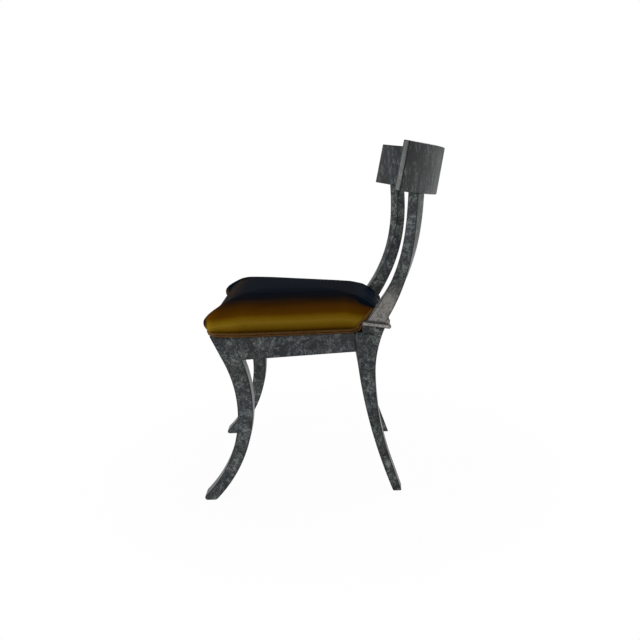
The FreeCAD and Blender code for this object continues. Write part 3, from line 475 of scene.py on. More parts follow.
shares = np.concatenate([rising(7, 0, 0.03)[:-1], np.linspace(0.03, 1, 56)])
corners = np.empty((len(shares), 4, 3))
head = np.empty((5, 4, 3))
climb = np.linspace(0, 1, 5)
for place, (outer, behind) in enumerate(((True, False), (True, True), (False, True),
                                         (False, False))):
    z = shares * (rail_top(150.0) if behind else NOTCH_Z)
    inset = sole_inset(z, 3.0)
    x = spread(HEAD_OUTER_X, 224.5, z) if outer else spread(HEAD_INNER_X, 188.5, z)
    x = x + np.where(outer, -1, 1) * sole_inset(z, 2.0)
    y = turned(rear_back_y(z) - inset if behind else rear_face_y(z) + inset, x)
    corners[:, place] = np.stack([x, y, z], -1)
    edge_x = HEAD_OUTER_X if outer else HEAD_INNER_X
    low = rail_top(150.0) if behind else rail_top(NOTCH_Y)
    top = ledge_underside(turned(rear_back_y(427.0), edge_x) if behind else NOTCH_Y)
    z = low + (top - low) * climb
    y = turned(rear_back_y(z), edge_x) if behind else np.full(5, NOTCH_Y)
    head[:, place] = np.stack([np.full(5, edge_x), y, z], -1)
fit_pair("sabre_leg_rear_", [four_sided(corners), four_sided(head)], leg_paint, "rear_leg_")

# Side rails
# Planks between the legs of each side, flush with the front legs and converging to the back.
# Their lower edge shows under the seat and their ends are scribed to the legs.

RAIL_BEND_Y = -216.0              # the rails run straight to here, then converge
rail_paint = stone_lacquer("stone_lacquer_rails", (0.31, 0.12, 0.05))


def on_rail_x(y, inwards):
    """X at y of a line that runs with the rail, a distance inwards from its outer face."""
    run = unit(np.array([HEAD_OUTER_X - OUTER_X, HEAD_Y - RAIL_BEND_Y]))
    base_x, base_y = OUTER_X - run[1] * inwards, RAIL_BEND_Y + run[0] * inwards
    return base_x + run[0] / run[1] * (y - base_y)


corners = []
for inwards, high in ((0.0, False), (0.0, True), (24.0, True), (24.0, False)):
    edge = rail_top if high else rail_bottom
    start_y, end_y = -210.0, 73.0
    for _ in range(4):
        start_y = front_leg_back_y(edge(start_y))
        end_y = turned(rear_face_y(edge(end_y)), on_rail_x(end_y, inwards))
    y = np.concatenate([np.linspace(start_y, RAIL_BEND_Y, 5)[:-1],
                        np.linspace(RAIL_BEND_Y, end_y, 24)])
    x = np.minimum(on_rail_x(y, inwards), OUTER_X)
    corners.append(np.stack([x, y, edge(y)], -1))
fit_pair("seat_rail_", [four_sided(np.stack(corners, 1), 1.2)], rail_paint, "side_rail_")

# Front and back rails
# The front rail leans like the front legs and sits a little behind their faces. The back rail
# closes the frame under the ledge. Both are dowelled into the legs.

FRONT_RAIL_THICK = 24
RAKE_Z = 366.0
rake_y = float(front_face_y(np.array(RAKE_Z)))


def front_rail_y(z):
    """Front of the front rail, 10 behind the line of the legs' faces."""
    return rake_y + (z - RAKE_Z) / (LEG_FACE_Z - RAKE_Z) * (LEG_FACE_Y - rake_y) + 10


low_y, high_y = front_rail_y(371), front_rail_y(LEG_FACE_Z)
x = np.linspace(-INNER_X, INNER_X, 14)
corners = []
for y, z in ((low_y, 371.0), (high_y, LEG_FACE_Z), (high_y + FRONT_RAIL_THICK, 431.0),
             (low_y + FRONT_RAIL_THICK, 370.0)):
    corners.append(np.stack([x, np.full(14, y), np.full(14, z)], -1))
fit_piece(lay_skin("seat_rail_front", [four_sided(np.stack(corners, 1), 1.2)]), rail_paint,
          "lacquered_wood", "front_rail")
set_finish(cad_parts["back_rail"], rail_paint)

# Corner blocks, dowels and screws
# Raw beech blocks are screwed into the corners of the frame, on round beech dowels and
# countersunk steel screws. They lie out of sight inside the seat frame.


def beech(name, stretch):
    """Plain beech: fine pores and soft bands drawn out along the grain."""
    material, start, place = new_finish(name)
    grain = start.node("ShaderNodeMapping", None, {"Vector": place, "Scale": stretch})
    bands = grain.noise(30.0, 4.0, 0.6)
    pores = grain.noise(260.0, 2.0, 0.5)
    colour = bands.ramp((0.3, paint(196, 156, 116)), (0.55, paint(214, 178, 138)),
                        (0.75, paint(226, 194, 158)))
    colour = colour.tint(paint(150, 108, 74), pores.ease_between(0.56, 0.7) * 0.5)
    put_on(start, {"Base Color": colour, "Roughness": 0.5 + bands * 0.2,
                   "Normal": pores.bump(0.2, 0.0004)})
    return material


block_wood = beech("raw_beech_blocks", (1.0, 0.15, 1.0))
dowel_wood = beech("raw_beech_dowels", (0.3, 0.3, 1.0))
screw_metal, start, place = new_finish("zinc_screws")
scratch = place.noise(900.0, 3.0, 0.6)
colour = scratch.ramp((0.3, paint(120, 120, 118)), (0.7, paint(176, 176, 172)))
put_on(start, {"Base Color": colour, "Metallic": 1.0, "Roughness": 0.25 + scratch * 0.3})
for name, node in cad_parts.items():
    wanted = (block_wood if name.startswith("corner_block") else
              dowel_wood if name == "rail_dowels" else
              screw_metal if name.endswith("screws") else None)
    if wanted:
        set_finish(node, wanted)

# Ledge
# A moulding across the back of the seat, with a round nose. It lies on the rear legs and the
# back rail, and the tenons of the stiles pass through it.


def nosed_strip(front, low, half, length, fall, reach):
    """Skin of a strip that ends in a half-round nose, carried across the chair.

    In the side view a point lies at front + a * along + b * across. The top runs at b = half
    from the front edge to a = length, and the nose is a half circle of that radius.
    """
    along = np.array([math.cos(fall), -math.sin(fall)])
    across = np.array([math.sin(fall), math.cos(fall)])
    plain = 14
    out, inset = eased_end(EASE)
    left, right = reach
    x = np.concatenate([(left + out)[::-1], np.linspace(left, right, plain + 2)[1:-1],
                        right - out])
    drawn = np.concatenate([inset[::-1], np.zeros(plain), inset])[:, None]
    rub = np.concatenate([[0, 1, 1, 1, 1, 0], np.zeros(plain), [0, 1, 1, 1, 1, 0]])[:, None]
    turn = np.radians(np.linspace(6, 90, 8))
    top_a = np.concatenate([length + (half - drawn) * np.cos(turn),
                            length * np.linspace(0.8, 0.06, 6) + drawn * 0,
                            0.9 + drawn, 0.25 + drawn, 0 + drawn], 1)
    top_b = np.concatenate([(half - drawn) * np.sin(turn),
                            half - drawn + np.zeros(6),
                            half - drawn, half - 0.25 - drawn, half - 0.9 - drawn], 1)
    a = np.concatenate([top_a, top_a[:, ::-1]], 1)
    b = np.concatenate([top_b, -top_b[:, ::-1]], 1)
    middle = np.array([front, low]) + across * half
    section = middle + a[..., None] * along + b[..., None] * across
    points = np.concatenate([np.broadcast_to(x[:, None, None], a.shape + (1,)), section], -1)
    return points, np.broadcast_to(rub, a.shape)


LEDGE_DEPTH, LEDGE_REACH = 68.5, 177.5
ledge_skin = nosed_strip(NOTCH_Y, float(ledge_underside(NOTCH_Y)), LEDGE_THICK / 2,
                         LEDGE_DEPTH / math.cos(LEDGE_FALL), LEDGE_FALL,
                         (-LEDGE_REACH, LEDGE_REACH))
ledge_paint = stone_lacquer("stone_lacquer_ledge", (0.05, 0.42, 0.2), 1.1)
fit_piece(lay_skin("back_moulding", [ledge_skin]), ledge_paint, "lacquered_wood", "back_ledge")

# Stiles
# Two posts that sweep back and then outwards, turning on the way until their backs face the
# crest's curve. A small round bead closes the foot of each against the ledge.

CREST_TILT = math.radians(10.3)
CREST_RADIUS = 408.0
CREST_Y, CREST_Z = 300.2, 753.3   # lower back edge of the crest, at its middle
STILE_X, STILE_SPREAD = 155.0, 66.0
CREST_TURN = math.asin((STILE_X + STILE_SPREAD) / CREST_RADIUS)
STILE_Z, STILE_RISE = 440.0, 330.0


def stile_line(share, across, deep, grow=0.0):
    """One corner line of the left stile at shares of its height, or one grown beyond it.

    The face lies 106.5 * (1 - share)^2.68 in front of its top. The middle spreads by
    share^2.6, the depth is 27 plus 27 * (1 - share)^3, and the section turns by the crest's
    angle times sin(share * 90 degrees)^1.5.
    """
    rest = np.clip(1 - share, 0, None)
    rise = np.clip(share, 0, None)
    depth = 27 + 27 * rest ** 3
    width = 39 - 5 * share
    turn = CREST_TURN * np.sin(np.minimum(rise, 1) * np.pi / 2) ** 1.5
    face = 202.3 - 106.5 * rest ** 2.68
    middle_x = STILE_X + STILE_SPREAD * rise ** 2.6
    middle_y = face + width / 2 * np.sin(turn) + depth / 2 * np.cos(turn)
    a, b = across * (width / 2 + grow), deep * (depth / 2 + grow)
    return np.stack([middle_x + a * np.cos(turn) + b * np.sin(turn),
                     middle_y - a * np.sin(turn) + b * np.cos(turn),
                     STILE_Z + STILE_RISE * share], -1)


def stile_corners(count, grow=0.0):
    """Corner lines of the left stile, from the ledge's top plane to the crest's lower plane."""
    lines = []
    for across, deep in ((1, -1), (1, 1), (-1, 1), (-1, -1)):
        foot, top = np.array(0.0), np.array(1.0)
        for _ in range(8):
            foot_y = stile_line(foot, across, deep, grow)[1]
            top_y = stile_line(top, across, deep, grow)[1]
            foot = (ledge_top(foot_y) - STILE_Z) / STILE_RISE
            top = (CREST_Z - (top_y - CREST_Y) * math.tan(CREST_TILT) - STILE_Z) / STILE_RISE
        lines.append(stile_line(np.linspace(foot, top, count), across, deep, grow))
    return np.stack(lines, 1)


BEAD_LENGTH, BEAD_HALF = 26.0, 7.5
bead_y = 153.8 - BEAD_LENGTH      # the bead's nose stands 4 behind the foot of the stile
bead_skin = nosed_strip(bead_y, float(ledge_top(bead_y)), BEAD_HALF, BEAD_LENGTH, LEDGE_FALL,
                        (STILE_X - 19.1, STILE_X + 19.1))
post, rub = four_sided(stile_corners(64), 1.5, (True, False))
rub[:6] = 1.0                     # painted shadow: a dark line round the foot, in the joint where it stands on the ledge
stile_paint = stone_lacquer("stone_lacquer_stiles", (0.12, 0.3, 0.33), 0.75)
fit_pair("back_stile_", [(post, rub), bead_skin], stile_paint, "stile_")

# Crest rail
# A wide plank sawn to one radius in front and behind, canted back and set down on the tenons
# of the stiles. Its ends are cut square to the curve and its top edge is a little crowned.

CREST_THICK, CREST_HEIGHT, CREST_HALF = 24.5, 118.5, 284


def crest_corner(share, behind, high):
    """One corner line of the crest at shares from its right end to its left end.

    The front is a circle of radius R. The back is the same circle moved back by d, so on a
    ray at angle t it lies at d cos t + root(R^2 - (d sin t)^2) from the front's centre.
    """
    height = np.zeros(len(share))
    for _ in range(3):
        half_width = CREST_HALF - 3 * height / CREST_HEIGHT
        turn = share * np.arcsin(half_width / CREST_RADIUS)
        out = CREST_THICK * np.cos(turn)
        out = out + np.sqrt(CREST_RADIUS ** 2 - (CREST_THICK * np.sin(turn)) ** 2)
        distance = out if behind else np.full(len(share), CREST_RADIUS)
        x = distance * np.sin(turn)
        if high:
            height = CREST_HEIGHT - 3.7 * (x / 281) ** 2
    y = distance * np.cos(turn) - CREST_RADIUS - CREST_THICK
    cos, sin = math.cos(CREST_TILT), math.sin(CREST_TILT)
    return np.stack([x, CREST_Y + y * cos + height * sin, CREST_Z - y * sin + height * cos], -1)


shares = np.linspace(-1, 1, 97)
corners = np.stack([crest_corner(shares, behind, high) for behind, high in
                    ((False, False), (True, False), (True, True), (False, True))], 1)
crest_paint = stone_lacquer("stone_lacquer_crest", (0.27, 0.05, 0.4), 0.0, (1.0, 1.0, 0.3), 0.05)
fit_piece(lay_skin("crest_plank", [four_sided(corners, 2.0, (True, True))]), crest_paint,
          "lacquered_wood", "crest_rail")

# Seat deck
# Birch plywood on the rails, held by screws that come up through the blocks. The pad is glued
# to it.

set_finish(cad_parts["seat_deck"], beech("birch_plywood", (0.2, 1.0, 6.0)))

# Seat cushion
# A crowned foam pad under one piece of satin, drawn down to the rails, round the stiles and
# onto the ledge. Its front edge is hollow between two corners that come forward.

SEAT_FRONT_Y, SEAT_BACK_Y = -297.0, 147.0
SEAT_CROWN = 95.0
SEAT_FILLING = 2.5                # the pad is made this much smaller, and swells by it
VOXEL = 0.0055                    # metres, as the next
SWELL_LIMIT = 0.003
RAIL_FALL = math.atan(TOP_SLOPE)


def seat_ring(inset, front_inset, back_inset):
    """Plan of the seat drawn in at its sides, front and back, with a ring for each value.

    The left half has five corners: the end of the front's hollow, two at the horn, the bend
    of the side and the back. Each is rounded by an arc about a centre on its bisector, and
    they are joined by even steps and mirrored.
    """
    inset, front_inset, back_inset = (np.asarray(value, float).reshape(-1, 1)
                                      for value in (inset, front_inset, back_inset))
    hollow = 16 * np.exp(-np.clip(inset, 0, None) / 40) + 1
    narrow = 1 - inset / OUTER_X
    shorten = 1 - (front_inset + back_inset) / (SEAT_BACK_Y - SEAT_FRONT_Y)
    x = np.array([191, 204, OUTER_X, OUTER_X, on_rail_x(SEAT_BACK_Y, 0.0)]) * narrow
    depths = np.array([0, 0, 0, RAIL_BEND_Y - SEAT_FRONT_Y, SEAT_BACK_Y - SEAT_FRONT_Y])
    y = SEAT_FRONT_Y + front_inset + depths * shorten
    y[:, :1] += hollow
    radii = np.array([24, 12, 24, 120, 14]) * narrow
    left = np.stack([x, y], -1)
    corners = np.concatenate([left * (1, 1), left[:, ::-1] * (-1, 1)], 1)
    radii = np.concatenate([radii, radii[:, ::-1]], 1)[..., None]
    before = unit(np.roll(corners, 1, 1) - corners)
    after = unit(np.roll(corners, -1, 1) - corners)
    half = np.arccos(np.clip((before * after).sum(-1, keepdims=True), -1, 1)) / 2
    start = corners + before * radii / np.tan(half)
    end = corners + after * radii / np.tan(half)
    centre = corners + unit(before + after) * radii / np.sin(half)
    pieces = []
    steps = [3, 6, 12, 46, 30, 46, 12, 6, 3, 30]       # on the straight after each corner
    for k, count in enumerate(steps):
        for share in np.linspace(0, 1, 6):
            spoke = start[:, k] * (1 - share) + end[:, k] * share - centre[:, k]
            pieces.append(centre[:, k] + unit(spoke) * radii[:, k])
        following = (k + 1) % len(steps)
        for share in np.linspace(0, 1, count + 2)[1:-1]:
            pieces.append(end[:, k] * (1 - share) + start[:, following] * share)
    return np.roll(np.stack(pieces, 1), steps[-1] // 2, 1)


def over_rails(points, height):
    """Stand plan points a height over the plane of the rails' top edges, square to it."""
    y = points[..., 1] * math.cos(RAIL_FALL) + height * math.sin(RAIL_FALL)
    z = rail_top(0.0) - points[..., 1] * math.sin(RAIL_FALL) + height * math.cos(RAIL_FALL)
    return np.stack([points[..., 0], y, z], -1)


# side view of the cushion: shares of the crown's height, and how far the side is drawn in
heights = np.array([0, 0.12, 0.23, 0.34, 0.45, 0.56, 0.67, 0.8, 0.9, 0.97, 1.0, 1.008, 1.012])
insets = np.array([4.0, 0, -4, -6, -4, 3.5, 15, 38, 70, 110, 150, 195, 222])
marks = np.linspace(0, 1, len(heights))
levels = np.linspace(0, 1, 49)
height = np.interp(levels, marks, heights) * (SEAT_CROWN - SEAT_FILLING)
inset = np.interp(levels, marks, insets)
overhang = 9 * np.sin(np.pi * np.clip(height / 62, 0, 1)) ** 0.8
front_inset = np.where(inset > 0, inset * 0.8, inset) - overhang
back_inset = np.maximum(inset, 0) + SEAT_FILLING
plan = seat_ring(inset + SEAT_FILLING, front_inset + SEAT_FILLING, back_inset)
cushion_skin = over_rails(plan, height[:, None])
cushion = lay_skin("seat_cushion", [(cushion_skin, np.zeros(cushion_skin.shape[:2]))])


def apply_modifiers(piece):
    """Bake a piece's modifiers into its mesh."""
    bpy.context.view_layer.update()
    solid = piece.evaluated_get(bpy.context.evaluated_depsgraph_get())
    mesh = bpy.data.meshes.new_from_object(solid)
    old = piece.data
    piece.modifiers.clear()
    piece.data = mesh
    bpy.data.meshes.remove(old)


def mesh_points(vertices, what="co"):
    """Places of a mesh's vertices, or another three-part value of theirs, as rows."""
    points = np.empty(len(vertices) * 3, np.float32)
    vertices.foreach_get(what, points)
    return points.reshape(-1, 3).astype(float)


post = [four_sided(stile_corners(24, 1.2), 0.8)]
cutters = [lay_skin("cutter_left", post), lay_skin("cutter_right", mirror(post))]
for cutter in cutters:
    cut = cushion.modifiers.new(cutter.name, "BOOLEAN")
    cut.operation = "DIFFERENCE"
    cut.solver = "EXACT"
    cut.object = cutter
apply_modifiers(cushion)
for cutter in cutters:
    bpy.data.meshes.remove(cutter.data)
even = cushion.modifiers.new("even", "REMESH")
even.mode = "VOXEL"
even.voxel_size = VOXEL
apply_modifiers(cushion)
start_points = mesh_points(cushion.data.vertices)
start_normals = mesh_points(cushion.data.vertex_normals, "vector")


def plane_height(points):
    """Height in millimetres of points in metres over the plane of the rails' top edges."""
    y, z = points[:, 1] * 1000 - set_back, points[:, 2] * 1000
    return y * math.sin(RAIL_FALL) + (z - rail_top(0.0)) * math.cos(RAIL_FALL)


points = start_points
# cloth under pressure, held where it is tacked: all of it below 6, and none above 20
held = cushion.vertex_groups.new(name="held")
low = np.clip(1 - (plane_height(start_points) - 6) / 14, 0, 1)
for weight in np.linspace(0.1, 1, 10):
    chosen = np.nonzero(np.abs(low - weight) <= 0.05)[0]
    held.add(chosen.tolist(), float(weight), "REPLACE")
cloth = cushion.modifiers.new("cloth", "CLOTH")
settings = cloth.settings
settings.quality = 5
settings.mass = 0.3
settings.tension_stiffness = 18
settings.compression_stiffness = 18
settings.shear_stiffness = 8
settings.bending_stiffness = 6
settings.use_pressure = True
settings.uniform_pressure_force = 4.0
settings.vertex_group_mass = "held"
settings.effector_weights.gravity = 0
cloth.collision_settings.use_self_collision = False
for number in range(1, 21):
    bpy.context.scene.frame_set(number)
apply_modifiers(cushion)
bpy.context.scene.frame_set(1)
moved = mesh_points(cushion.data.vertices) - start_points
swelling = np.clip((moved * start_normals).sum(1, keepdims=True), 0, SWELL_LIMIT)
points = start_points + start_normals * swelling

# the satin stays off the stiles, and on the rails and the ledge
x, y, z = points[:, 0] * 1000, points[:, 1] * 1000 - set_back, points[:, 2] * 1000
share = np.clip((z - STILE_Z) / STILE_RISE, 0, 1)
face = stile_line(share, -1, -1)
inner_x, face_y = face[:, 0] - 1.0, face[:, 1] - 1.0
to_front, to_inside = y - face_y, np.abs(x) - inner_x
inside = (to_front > 0) & (to_inside > 0)
y, x = (np.where(inside & (to_front < to_inside), face_y, y),
        np.where(inside & (to_front >= to_inside), np.sign(x) * inner_x, x))
z = np.maximum(z, np.where(y < NOTCH_Y, rail_top(y), ledge_top(y)) + 0.05)
points = np.stack([x, y + set_back, z], -1) / 1000
cushion.data.vertices.foreach_set("co", points.astype(np.float32).ravel())
cushion.data.polygons.foreach_set("use_smooth", np.ones(len(cushion.data.polygons), bool))

# what the satin's painted light and shade follow: the height, raised where it faces or lies to
# the front, to the back and between the stiles, which get painted shade
ahead = np.clip((-start_normals[:, 1] - 0.45) / 0.5, 0, 1)
ahead = ahead ** 2 * (3 - 2 * ahead)
to_front = np.clip((-205 - y) / 90, 0, 1)
back_painted_shade = np.clip((y - 50) / 85, 0, 1)
between = np.clip((y - 80) / 40, 0, 1) * np.clip((152 - np.abs(x)) / 22, 0, 1)
painted_light_height = (plane_height(points) / 100 + 0.5 * ahead + 0.1 * to_front + 0.16 * back_painted_shade
                + 0.5 * between)
rise = cushion.data.attributes.new("rise", "FLOAT", "POINT")
rise.data.foreach_set("value", painted_light_height.astype(np.float32))
cushion.data.update()
smooth = cushion.modifiers.new("smooth", "SUBSURF")
smooth.levels = 1
smooth.render_levels = 1

# the satin is gold on the bulging side with a painted highlight band, then painted shade: brown
# above it and blue-black on the crown, by the attribute rise; fine threads darken it in streaks
satin_with_painted_light, start, place = new_finish("satin_with_painted_light")
rise = start.node("ShaderNodeAttribute", {"attribute_name": "rise"}, None, "Fac")
rise = rise + (place.noise(9.0, 2.0, 0.5) - 0.5) * 0.08
# painted highlight at the brightest gold stops, painted shade in the brown and blue-black ones
colour = rise.ramp(
    (0.0, paint(98, 64, 5)), (0.12, paint(118, 82, 6)), (0.24, paint(136, 103, 18)),
    (0.36, paint(160, 126, 34)), (0.46, paint(140, 107, 16)), (0.55, paint(104, 65, 3)),
    (0.68, paint(84, 49, 3)), (0.77, paint(57, 34, 8)), (0.85, paint(18, 17, 20)),
    (0.91, paint(5, 12, 25)), (0.97, paint(7, 20, 33)))
threads = start.node("ShaderNodeMapping", None, {"Vector": place, "Scale": (1.0, 9.0, 9.0)})
thread = threads.noise(160.0, 2.0, 0.6)
darker = colour.times((0.72, 0.7, 0.66, 1.0))
colour = colour.tint(darker, thread.ease_between(0.4, 0.75) * 0.5)
ripple = place.noise(14.0, 2.0, 0.5) + thread * 0.04
put_on(start, {"Base Color": colour, "Roughness": 0.42 + thread * 0.16,
               "Normal": ripple.bump(0.16, 0.002), "Specular IOR Level": 0.01})
fit_piece(cushion, satin_with_painted_light, "satin", "seat_cover", "foam_pad")

# Double welt
# Two cords covered with the same satin, sewn side by side over the tacks. They follow the
# rails, climb each stile's front edge, and close across the back on the ledge.

WELT_RADIUS = 2.8
WELT_STEP = 3.0                   # from point to point along a cord
WELT_SIDES = 14


def smooth_line(points, step):
    """A rounded path through points: a Catmull-Rom curve, cut into even steps."""
    padded = np.concatenate([points[-1:], points, points[:2]])
    t = np.linspace(0, 1, 24, endpoint=False)[:, None, None]
    p0, p1, p2, p3 = (padded[k:k + len(points)] for k in range(4))
    curve = 0.5 * (2 * p1 + (p2 - p0) * t + (2 * p0 - 5 * p1 + 4 * p2 - p3) * t ** 2
                   + (3 * p1 - p0 - 3 * p2 + p3) * t ** 3)
    curve = curve.transpose(1, 0, 2).reshape(-1, 3)
    closed = np.concatenate([curve, curve[:1]])
    length = np.concatenate([[0], np.cumsum(np.linalg.norm(np.diff(closed, axis=0), axis=1))])
    count = int(length[-1] / step)
    even = np.linspace(0, length[-1], count, endpoint=False)
    return np.stack([np.interp(even, length, closed[:, k]) for k in range(3)], -1)


def welt_guide(row):
    """Closed guide line of one row, from the front's middle along the left side and back.

    It follows the rail, turns up before the ledge, climbs the stile's front edge, dips
    between seat and stile to the inside, comes down to the ledge and crosses it.
    """
    step = WELT_RADIUS * (2 * row + 1)
    outset = -1.8 * row - 2.5
    ring = seat_ring([outset], [outset + 2.5], [outset])[0]
    turn_y = NOTCH_Y - step - 0.6
    half = ring[:len(ring) // 2]
    half = half[(half[:, 1] < turn_y - 9) & (half[:, 0] > 0)]
    rails = over_rails(half, step)[::4]
    corner_x, corner_z = on_rail_x(turn_y, 0.0) + 2.5, rail_top(turn_y) + step
    corner = [[corner_x, turn_y, corner_z + 3], [corner_x, turn_y + 0.5, corner_z + 14]]
    front = stile_line(np.array([0.03, 0.055, 0.08, 0.11, 0.145]), 1, -1)
    climb = front - (1.0, 0.8 + step, 0.0)
    over = stile_line(np.array([0.15, 0.15]), np.array([0.4, -0.5]), -1)
    over -= (0.0, 1.0 + step, 16.0)
    inside = [[134.0 - step, 100.0, 468.0], [134.0 - step, 118.0, 464.0],
              [134.0 - step, 136.0, 456.0]]
    ledge_y, ledge_z = 150.0, ledge_top(150.0) + step
    back = [[128.0 - step, 147.0, 449.0], [118.0 - step, ledge_y, ledge_z]]
    across = [[x, ledge_y, ledge_z] for x in np.linspace(100, 4, 9)]
    left = np.concatenate([rails, corner, climb, over, inside, back, across])
    return np.concatenate([left, left[::-1] * (-1, 1, 1)])


bpy.context.view_layer.update()
seen = cushion.evaluated_get(bpy.context.evaluated_depsgraph_get())
skin_tree = BVHTree.FromObject(seen, bpy.context.evaluated_depsgraph_get())


def rest_on_cushion(line):
    """Move a line of points so that a cord along it lies on the cushion's skin."""
    laid = []
    for point in (line + (0, set_back, 0)) / 1000:
        near, normal = skin_tree.find_nearest(Vector(point))[:2]
        laid.append(near + normal * (WELT_RADIUS * 0.0006))
    return np.array(laid) * 1000 - (0, set_back, 0)


def tube(line):
    """Closed tube: at each point two directions square to the path, and a circle in them."""
    ahead = unit(np.roll(line, -1, 0) - np.roll(line, 1, 0))
    away = unit(np.cross(ahead, [0.0, 0.0, 1.0]) + np.cross(ahead, [0.0, 1.0, 0.0]) * 0.2)
    away = unit(away - ahead * (away * ahead).sum(1, keepdims=True))
    other = np.cross(ahead, away)
    turn = np.linspace(0, 2 * np.pi, WELT_SIDES, endpoint=False)[None, :, None]
    circle = away[:, None] * np.cos(turn) + other[:, None] * np.sin(turn)
    return line[:, None] + circle * WELT_RADIUS


def settle(line, passes):
    """Even out a closed line: each pass moves a point half way to its neighbours' middle."""
    for _ in range(passes):
        line = line / 2 + (np.roll(line, 1, 0) + np.roll(line, -1, 0)) / 4
    return line


skins, faces = [], []
for row in range(2):
    guide = smooth_line(welt_guide(row), WELT_STEP)
    climbs = ((guide[:, 1] > 70) & (np.abs(guide[:, 0]) > 150))[:, None]
    skin = tube(settle(np.where(climbs, rest_on_cushion(guide), guide), 8)).reshape(-1, 3)
    first = sum(len(one) for one in skins)
    grid = first + np.arange(len(skin)).reshape(-1, WELT_SIDES)
    beside = np.roll(grid, -1, 1)
    quads = np.stack([grid, beside, np.roll(beside, -1, 0), np.roll(grid, -1, 0)], -1)
    skins.append(skin)
    faces.append(quads.reshape(-1, 4))
welt = new_piece("double_cord_welt", np.concatenate(skins), np.concatenate(faces))

welt_satin, start, place = new_finish("welt_satin")
cloud = place.noise(60.0, 3.0, 0.6)
thread = place.noise(900.0, 2.0, 0.5)
colour = (cloud * 0.7 + thread * 0.3).ramp(
    (0.25, paint(74, 46, 14)), (0.5, paint(104, 70, 26)), (0.75, paint(126, 90, 44)))
put_on(start, {"Base Color": colour, "Roughness": 0.4 + thread * 0.2,
               "Normal": thread.bump(0.3, 0.0004), "Specular IOR Level": 0.2})
fit_piece(welt, welt_satin, "satin_cord", "double_welt")

# Dust cover
# Black cambric tacked under the rails, cut out round the legs, so that nothing falls from the
# seat. It sags a few millimetres between the rails.

LEG_END_Y, LEG_START_Y = -205.0, 70.0     # between these the sheet reaches the side rails
y = np.concatenate([np.linspace(-256, -206, 8), np.linspace(-204, 69, 40),
                    np.linspace(70.5, 100, 6)])
half_width = np.where(y < LEG_END_Y, INNER_X - 1,
                      np.where(y > LEG_START_Y, HEAD_INNER_X - 1,
                               np.minimum(on_rail_x(y, 6.0), 230.0)))
across = np.linspace(-1, 1, 41)
hang = np.clip(1 - ((y + 78) / 178) ** 2, 0, 1)[:, None]
sag = 5.0 * (1 - across ** 2) * hang
sheet_points = np.stack([half_width[:, None] * across, np.broadcast_to(y[:, None], sag.shape),
                         rail_bottom(y)[:, None] - 0.5 - sag], -1)
grid = np.arange(sag.size).reshape(sag.shape)
quads = np.stack([grid[:-1, :-1], grid[1:, :-1], grid[1:, 1:], grid[:-1, 1:]], -1)
dust_cover = new_piece("cambric_dust_cover", sheet_points, quads.reshape(-1, 4))
thicken = dust_cover.modifiers.new("cloth_thickness", "SOLIDIFY")
thicken.thickness = 0.0006
cambric, start, place = new_finish("black_cambric")
weave = start.node("ShaderNodeTexChecker", None, {"Vector": place, "Scale": 900.0}, "Fac")
lint = place.noise(40.0, 4.0, 0.6)
colour = lint.ramp((0.3, paint(22, 22, 24)), (0.7, paint(40, 40, 42)))
put_on(start, {"Base Color": colour, "Roughness": 0.8 + lint * 0.15,
               "Normal": weave.bump(0.3, 0.0003)})
fit_piece(dust_cover, cambric, "cambric", "dust_cover")

# Floor, light and camera
# A plain white floor and soft studio light from both ends of the chair and from above. The
# camera stands beside the chair, a little above the height of the crest.

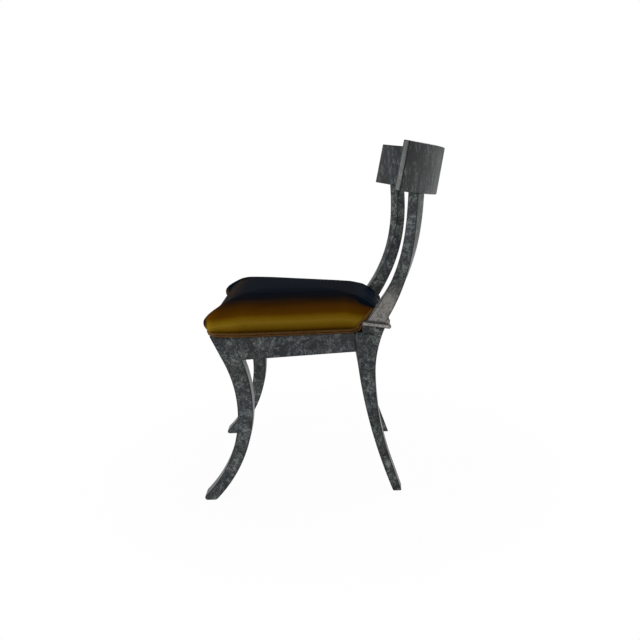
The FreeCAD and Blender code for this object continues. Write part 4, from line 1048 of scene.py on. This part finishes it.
mesh = bpy.data.meshes.new("studio_floor")
mesh.from_pydata([(-9, -9, 0), (9, -9, 0), (9, 9, 0), (-9, 9, 0)], [], [(0, 1, 2, 3)])
floor = bpy.data.objects.new("studio_floor", mesh)
bpy.context.scene.collection.objects.link(floor)
floor_white, start, place = new_finish("floor_white")
ray = start.node("ShaderNodeLightPath", None, None, "Is Camera Ray")
glossy = start.node("ShaderNodeLightPath", None, None, "Is Glossy Ray")
lit = start.node("ShaderNodeBsdfDiffuse", None, {"Color": (0.86, 0.86, 0.86, 1.0)})
white = start.node("ShaderNodeEmission", None, {"Color": (1, 1, 1, 1), "Strength": 1.0})
away = start.node("ShaderNodeVectorMath", {"operation": "LENGTH"}, {0: place}, "Value")
share = ray * (0.97 + away.ease_between(0.38, 0.8) * 0.03) + glossy * 0.3
seen_as = start.node("ShaderNodeMixShader", None, {0: share, 1: lit, 2: white})
start.node("ShaderNodeOutputMaterial", None, {"Surface": seen_as}, None)
floor.data.materials.append(floor_white)

world = bpy.data.worlds.new("studio")
bpy.context.scene.world = world
world.use_nodes = True
world.node_tree.nodes.clear()
start = Shade(world.node_tree)
ray = start.node("ShaderNodeLightPath", None, None, "Is Camera Ray")
sky = start.node("ShaderNodeBackground", None,
                 {"Color": (1, 1, 1, 1), "Strength": ray * 0.72 + 0.28})
start.node("ShaderNodeOutputWorld", None, {"Surface": sky}, None)


def soft_light(name, place, aim, size, power):
    """A square soft box that faces a point of the chair."""
    lamp = bpy.data.lights.new(name, "AREA")
    lamp.energy = power
    lamp.size = size
    box = bpy.data.objects.new(name, lamp)
    box.location = place
    box.rotation_euler = (Vector(aim) - Vector(place)).to_track_quat("-Z", "Y").to_euler()
    bpy.context.scene.collection.objects.link(box)


soft_light("front_box", (0.8, -2.4, 1.1), (0, 0, 0.5), 1.5, 26.0)
soft_light("rear_box", (-1.5, 2.3, 2.3), (0, 0.1, 0.6), 1.4, 40.0)
soft_light("top_box", (0.0, 0.0, 2.8), (0, 0, 0.4), 2.0, 8.0)

PITCH, YAW, ROLL = (math.radians(value) for value in (12.808, -0.4735, -1.746))
forward = Vector((-math.cos(PITCH) * math.cos(YAW), math.cos(PITCH) * math.sin(YAW),
                  -math.sin(PITCH)))
sideways = Vector((math.sin(YAW), math.cos(YAW), 0.0))
upwards = sideways.cross(forward)
right = sideways * math.cos(ROLL) + upwards * math.sin(ROLL)
up = upwards * math.cos(ROLL) - sideways * math.sin(ROLL)
lens = bpy.data.cameras.new("camera")
lens.lens = 39.94
lens.sensor_width = 36.0
camera = bpy.data.objects.new("camera", lens)
turned_axes = Matrix((right, up, -forward)).transposed().to_4x4()
turned_axes.translation = (1.93923, (set_back - 2.0) / 1000, 0.85416)
camera.matrix_world = turned_axes
bpy.context.scene.collection.objects.link(camera)
bpy.context.scene.camera = camera
bpy.context.scene.view_settings.view_transform = "Standard"
